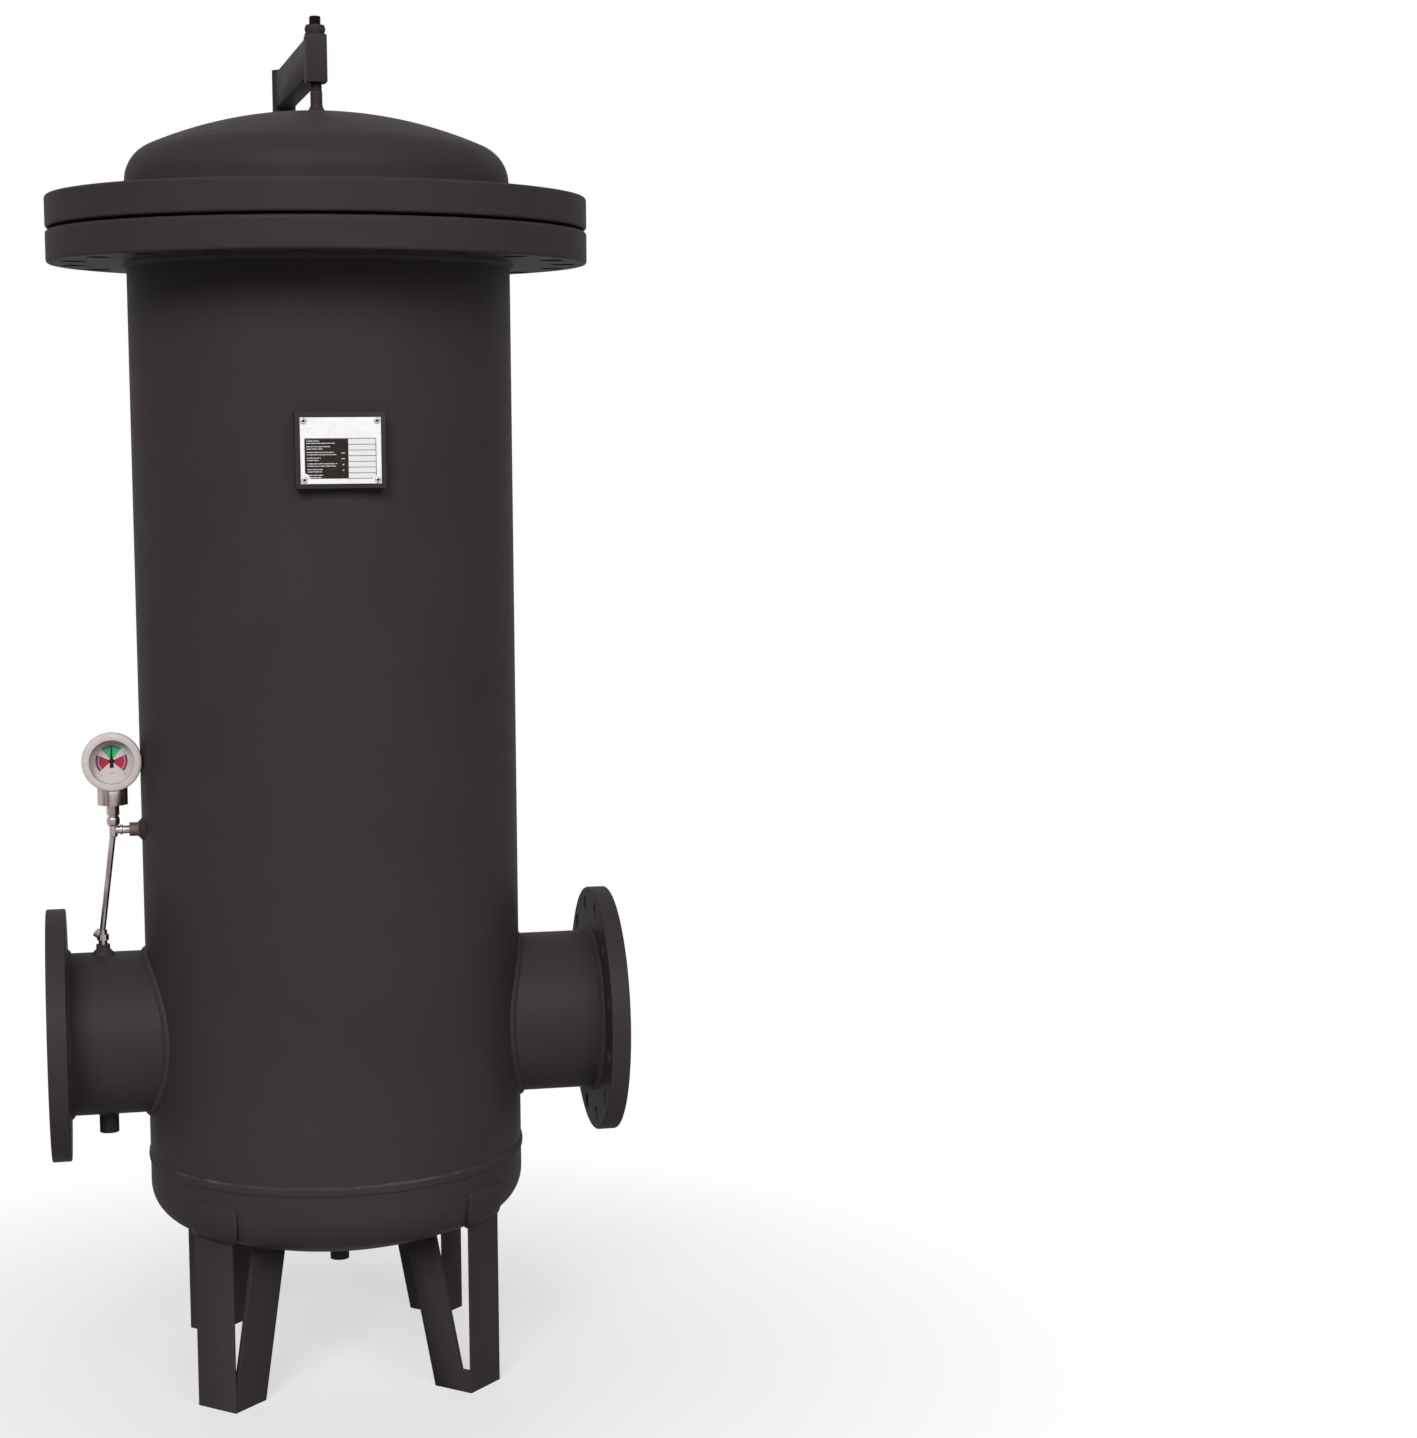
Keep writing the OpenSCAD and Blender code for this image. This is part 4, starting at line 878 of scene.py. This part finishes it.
def add_plate_print():
    """The dark table with its rows of bars, the empty cells beside it and the lines, in millimetres."""
    w, h = (plate_hi.x - plate_lo.x) / MM, (plate_hi.z - plate_lo.z) / MM
    left, split, right, top, foot = 5.2, 59.8, w - 6.2, 26.8, h - 6.4
    rows = 7
    pitch = (foot - top) / rows
    above, below, frame_line, rivet_room = 0.45, 0.35, 0.8, 4.5

    def row_y(i):
        return top + pitch * i

    table = [(left, top), (split, top), (split, foot), (left + 6.5, foot), (left + 5.4, foot - 3.6),
             (left + 3.2, foot - 5.8), (left, foot - 6.8)]
    print_piece("plate_table", [table], BLACK, on_plate)
    lines = [box_outline(split, top - 0.9, right, top), box_outline(left, top - 0.9, split, top - 0.15),
             box_outline(right - frame_line, top, right, foot - 3.5)]
    for i in range(1, rows + 1):
        end = right - (frame_line if i < rows else rivet_room)
        lines.append(box_outline(split, row_y(i) - above, end, row_y(i) + below))
    print_piece("plate_lines", lines, GREY_PRINT, on_plate)
    cells = [box_outline(split, row_y(i) + below, right - frame_line, row_y(i + 1) - above)
             for i in range(rows)]
    print_piece("plate_cells", cells, CELL_WHITE, on_plate, thick=0.05)
    bars = []
    bar_height, word_gap, indent = 1.05, 0.7, 2.4
    for i, length in enumerate((17, 36, 30, 21, 35, 38, 18, 16, 38, 37, 20, 19, 20, 18)):
        row = i // 2
        y = row_y(row) + (2.1 if i % 2 == 0 else 5.0)
        x = left + indent + 0.12 * row
        while length > 0:
            word = min(length, 4.6 + 2.6 * math.sin(i * 2.1 + length))
            bars.append(box_outline(x, y, x + word - word_gap, y + bar_height))
            x += word
            length -= word
    bars += [box_outline(51, row_y(k) + 3, 55.5, row_y(k) + 4.1) for k in (2, 3)]
    bars += [box_outline(52.5, row_y(k) + 3, 54.3, row_y(k) + 4.6) for k in (4, 5)]
    print_piece("plate_bars", bars, PALE_PRINT, on_plate, off=0.08, thick=0.05)


def add_rivets():
    """Blind rivets: a domed ring round a hole, and a black disc in the hole as painted shade."""
    lo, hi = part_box("nameplate_rivets")
    cad_rivet_r, hole_r = 0.0026, 0.0015
    dome = [(hole_r, -0.0004), (hole_r, 0.001), (0.0018, 0.0014), (0.0024, 0.0016), (0.003, 0.0014),
            (0.0037, 0.0009), (0.0041, 0.0003), (0.0042, -0.0004)]
    hole = [(hole_r - 0.00001, -0.0004), (hole_r - 0.00001, 0.0004)]
    spots = [Vector((x, plate_lo.y, z)) for x in (lo.x + cad_rivet_r, hi.x - cad_rivet_r)
             for z in (lo.z + cad_rivet_r, hi.z - cad_rivet_r)]
    domes = joined([spun_ring(dome, spot, TO_READER, count=40) for spot in spots])
    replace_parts(piece("rivet_domes", domes, RIVET), "nameplate_rivets")
    # Black discs inside the rivets' holes: painted shade
    holes = joined([lathe(hole, spot, TO_READER, count=24) for spot in spots])
    piece("rivet_hole_shade", holes, BLACK, smooth=FLAT_SMOOTH)


# Filter bags: felt tubes that hang from their rings with soft folds, a lapped side seam with two rows of
# stitches and a rounded foot
BAG_SIDES = 144
FELT_THICK = 0.0023
FOOT_ROUND = 0.03


def wave(x):
    return 0.5 + 0.5 * math.sin(x)


def bag_profile(r, top, foot):
    """Rows of (radius, z, freedom to fold): down the side, round the foot and in under it."""
    side_rows, round_rows, under_rows = 72, 12, 7
    straight = top - foot - FOOT_ROUND
    profile = [(r, top - straight * i / side_rows, 1.0) for i in range(side_rows + 1)]
    for i in range(1, round_rows + 1):
        a = math.pi / 2 * i / round_rows
        radius = r - FOOT_ROUND + FOOT_ROUND * math.cos(a)
        profile.append((radius, foot + FOOT_ROUND - FOOT_ROUND * math.sin(a), 1.0 - i / 14))
    for i in range(1, under_rows + 1):
        profile.append(((r - FOOT_ROUND) * (1 - i / 7.6), foot + 0.0004 * math.sin(i), 0.05))
    return profile


def bag_skin(profile, centre, top, seam_turn, phase, inset):
    """The felt's outer face, or its inner one at an inset: it hangs in folds below the ring."""
    clear, lap_lift, lap_half, hang_from = 0.0011, 0.0011, 0.009, 0.09
    verts = []
    for radius, z, free in profile:
        hang = min(1.0, (top - z) / hang_from) * free
        under = inset if free < 0.5 else 0.0
        for k in range(BAG_SIDES):
            a = 2 * math.pi * k / BAG_SIDES
            fold = wave(5 * a + phase + 2.2 * math.sin(7 * z + phase))
            pucker = wave(13 * a - 9 * z + 2 * phase)
            sag = wave(38 * z + 3 * math.sin(a + phase))
            drop = hang * (0.0034 * fold + 0.0012 * pucker * sag + 0.0006 * sag)
            gap = (a - seam_turn + math.pi) % (2 * math.pi) - math.pi
            lapped = inset == 0 and abs(gap) * radius < lap_half and radius > 0.05
            r = max(0.0005, radius - drop - inset - clear + (lap_lift if lapped else 0))
            verts.append(Vector((centre.x + r * math.cos(a), centre.y + r * math.sin(a), z + under)))
    return verts


def bag_stitches(centre, r, top, foot, seam_turn):
    """Two rows of stitches, one at each side of the seam."""
    row_half, pitch, length, half_width, thick, depth = 0.006, 0.0048, 0.0032, 0.0004, 0.0007, 0.0062
    section = ((-half_width, 0), (half_width, 0), (half_width, -thick), (-half_width, -thick))
    faces = [(0, 1, 2, 3), (7, 6, 5, 4), (0, 4, 5, 1), (1, 5, 6, 2), (2, 6, 7, 3), (3, 7, 4, 0)]
    stitches = []
    for side in (-row_half, row_half):
        a = seam_turn + side / r
        out = Vector((math.cos(a), math.sin(a), 0))
        across = Vector((-math.sin(a), math.cos(a), 0))
        z = top - 0.02
        while z > foot + 0.05:
            base = Vector((centre.x, centre.y, z)) + out * (r - FELT_THICK - depth)
            verts = [base + across * x + UP * y + out * h for y in (0, length) for x, h in section]
            stitches.append((verts, faces))
            z -= pitch
    return joined(stitches)


def add_bag(node, seam_turn, phase):
    """One bag: a felt skin in place of the CAD model's plain one, and its stitches."""
    lo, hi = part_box(node)
    centre = (lo + hi) / 2
    r = (hi.x - lo.x) / 2 - 0.0004
    top, foot = hi.z, lo.z + 0.0006
    profile = bag_profile(r, top, foot)
    outer = bag_skin(profile, centre, top, seam_turn, phase, 0.0)
    inner = bag_skin(profile, centre, top, seam_turn, phase, FELT_THICK)
    n, rows = len(outer), len(profile)
    side = strip_faces(rows, BAG_SIDES, False, True)
    bottom = range((rows - 1) * BAG_SIDES, rows * BAG_SIDES)
    faces = side + [tuple(n + v for v in reversed(face)) for face in side]
    faces += [(k, (k + 1) % BAG_SIDES, n + (k + 1) % BAG_SIDES, n + k) for k in range(BAG_SIDES)]
    faces += [tuple(reversed(bottom)), tuple(n + v for v in bottom)]
    obj = piece(node + "_felt", (outer + inner, faces), FELT, smooth=60)
    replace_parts(obj, node)
    stitches = bag_stitches(centre, r, top, foot, seam_turn)
    thread = piece(node + "_stitches", stitches, RING, smooth=FLAT_SMOOTH)


# Camera: the photograph's own viewing angle, fitted to the object's outlines
FOCAL_PX = 2748.0
LONG_SIDE_PX = 1438
CAMERA_AT = AXIS + Vector((-0.2999, -3.7511, 1.3111))
HEADING = math.radians(12.48)
DOWN = math.radians(6.25)
ROLL = math.radians(-0.3)


def add_camera():
    data = bpy.data.cameras.new("camera")
    data.sensor_width = 36
    data.lens = FOCAL_PX / LONG_SIDE_PX * data.sensor_width
    data.clip_start, data.clip_end = 0.1, 60
    cam = bpy.data.objects.new("camera", data)
    bpy.context.scene.collection.objects.link(cam)
    flat = Vector((math.sin(HEADING), math.cos(HEADING), 0))
    level = Vector((math.cos(HEADING), -math.sin(HEADING), 0))
    ahead = flat * math.cos(DOWN) - UP * math.sin(DOWN)
    above = UP * math.cos(DOWN) + flat * math.sin(DOWN)
    right = level * math.cos(ROLL) + above * math.sin(ROLL)
    up = above * math.cos(ROLL) - level * math.sin(ROLL)
    turn = Matrix((right, up, -ahead)).transposed()
    cam.matrix_world = Matrix.Translation(CAMERA_AT) @ turn.to_4x4()
    bpy.context.scene.camera = cam


def sun(name, heading, height, angle, strength, gloss=True):
    """A distant lamp; heading is its bearing from the camera's, height its elevation, both in degrees."""
    data = bpy.data.lights.new(name, "SUN")
    data.energy = strength
    data.angle = math.radians(angle)
    light = bpy.data.objects.new(name, data)
    bpy.context.scene.collection.objects.link(light)
    turn = HEADING + math.pi + math.radians(heading)
    flat = Vector((math.sin(turn), math.cos(turn), 0))
    away = flat * math.cos(math.radians(height)) + UP * math.sin(math.radians(height))
    light.rotation_mode = "QUATERNION"
    light.rotation_quaternion = (-away).to_track_quat("-Z", "Y")
    light.visible_glossy = gloss


def seen_white(tree):
    """1 for what the camera sees, directly, by reflection or through the lens."""
    path = tree.nodes.new("ShaderNodeLightPath")
    either = math_node(tree, "MAXIMUM", path.outputs["Is Camera Ray"], path.outputs["Is Glossy Ray"])
    return math_node(tree, "MAXIMUM", either, path.outputs["Is Transmission Ray"])


def white_source(tree, kind, strength):
    """A white background or emission node's output."""
    node = tree.nodes.new("ShaderNode" + kind)
    node.inputs["Color"].default_value = (1, 1, 1, 1)
    node.inputs["Strength"].default_value = strength
    return node.outputs[kind]


def mix_shaders(tree, fac, a, b, out):
    mix = tree.nodes.new("ShaderNodeMixShader")
    tree.links.new(fac, mix.inputs["Fac"])
    tree.links.new(a, mix.inputs[1])
    tree.links.new(b, mix.inputs[2])
    tree.links.new(mix.outputs["Shader"], out.inputs["Surface"])


def add_lights():
    """Three soft lamps; the world is seen white, and lights only a little."""
    sun("key", heading=11, height=31, angle=26, strength=1.78)
    sun("fill", heading=-32, height=28, angle=34, strength=0.95)
    sun("back", heading=168, height=18, angle=40, strength=1.1, gloss=False)
    world = bpy.data.worlds.new("world")
    bpy.context.scene.world = world
    world.use_nodes = True
    tree = world.node_tree
    tree.nodes.clear()
    out = tree.nodes.new("ShaderNodeOutputWorld")
    soft, white = white_source(tree, "Background", 0.12), white_source(tree, "Background", 1.0)
    mix_shaders(tree, seen_white(tree), soft, white, out)


def add_floor():
    """White floor: it keeps the object's shadow close by, and runs into the white ground further off."""
    half = 25.0
    mesh = bpy.data.meshes.new("floor")
    corners = [(x, y, 0) for x, y in box_outline(-half, -half, half, half)]
    mesh.from_pydata(corners, [], [(0, 1, 2, 3)])
    floor = bpy.data.objects.new("floor", mesh)
    bpy.context.scene.collection.objects.link(floor)
    mat, tree, bsdf = new_material("floor_white")
    bsdf.inputs["Roughness"].default_value = 1.0
    bsdf.inputs["Specular IOR Level"].default_value = 0.0
    path = tree.nodes.new("ShaderNodeLightPath")
    plain = rgb_value(tree, srgb(230, 230, 230))
    bounce = mix_colour(tree, path.outputs["Is Diffuse Ray"], plain, srgb(172, 172, 172))
    tree.links.new(bounce, bsdf.inputs["Base Color"])
    length = tree.nodes.new("ShaderNodeVectorMath")
    length.operation = "LENGTH"
    tree.links.new(object_coords(tree), length.inputs[0])
    far = to_range(tree, length.outputs["Value"], 0.35, 1.1, 0.6, 1.0)
    glow = white_source(tree, "Emission", 1.0)
    fade = math_node(tree, "MULTIPLY", far, seen_white(tree))
    mix_shaders(tree, fade, bsdf.outputs["BSDF"], glow, node_of(tree, "OUTPUT_MATERIAL"))
    mesh.materials.append(mat)


finish_cad_nodes()
add_welds()
add_plate_welds()
add_rod()
add_gauge_print()
add_bezel()
add_stem()
add_vent_screw()
add_plate_print()
add_rivets()
add_bag("bag_front", 2.4, 0.4)
add_bag("bag_back", -2.2, 2.1)
add_camera()
add_lights()
add_floor()

bpy.context.scene.view_settings.view_transform = "Standard"
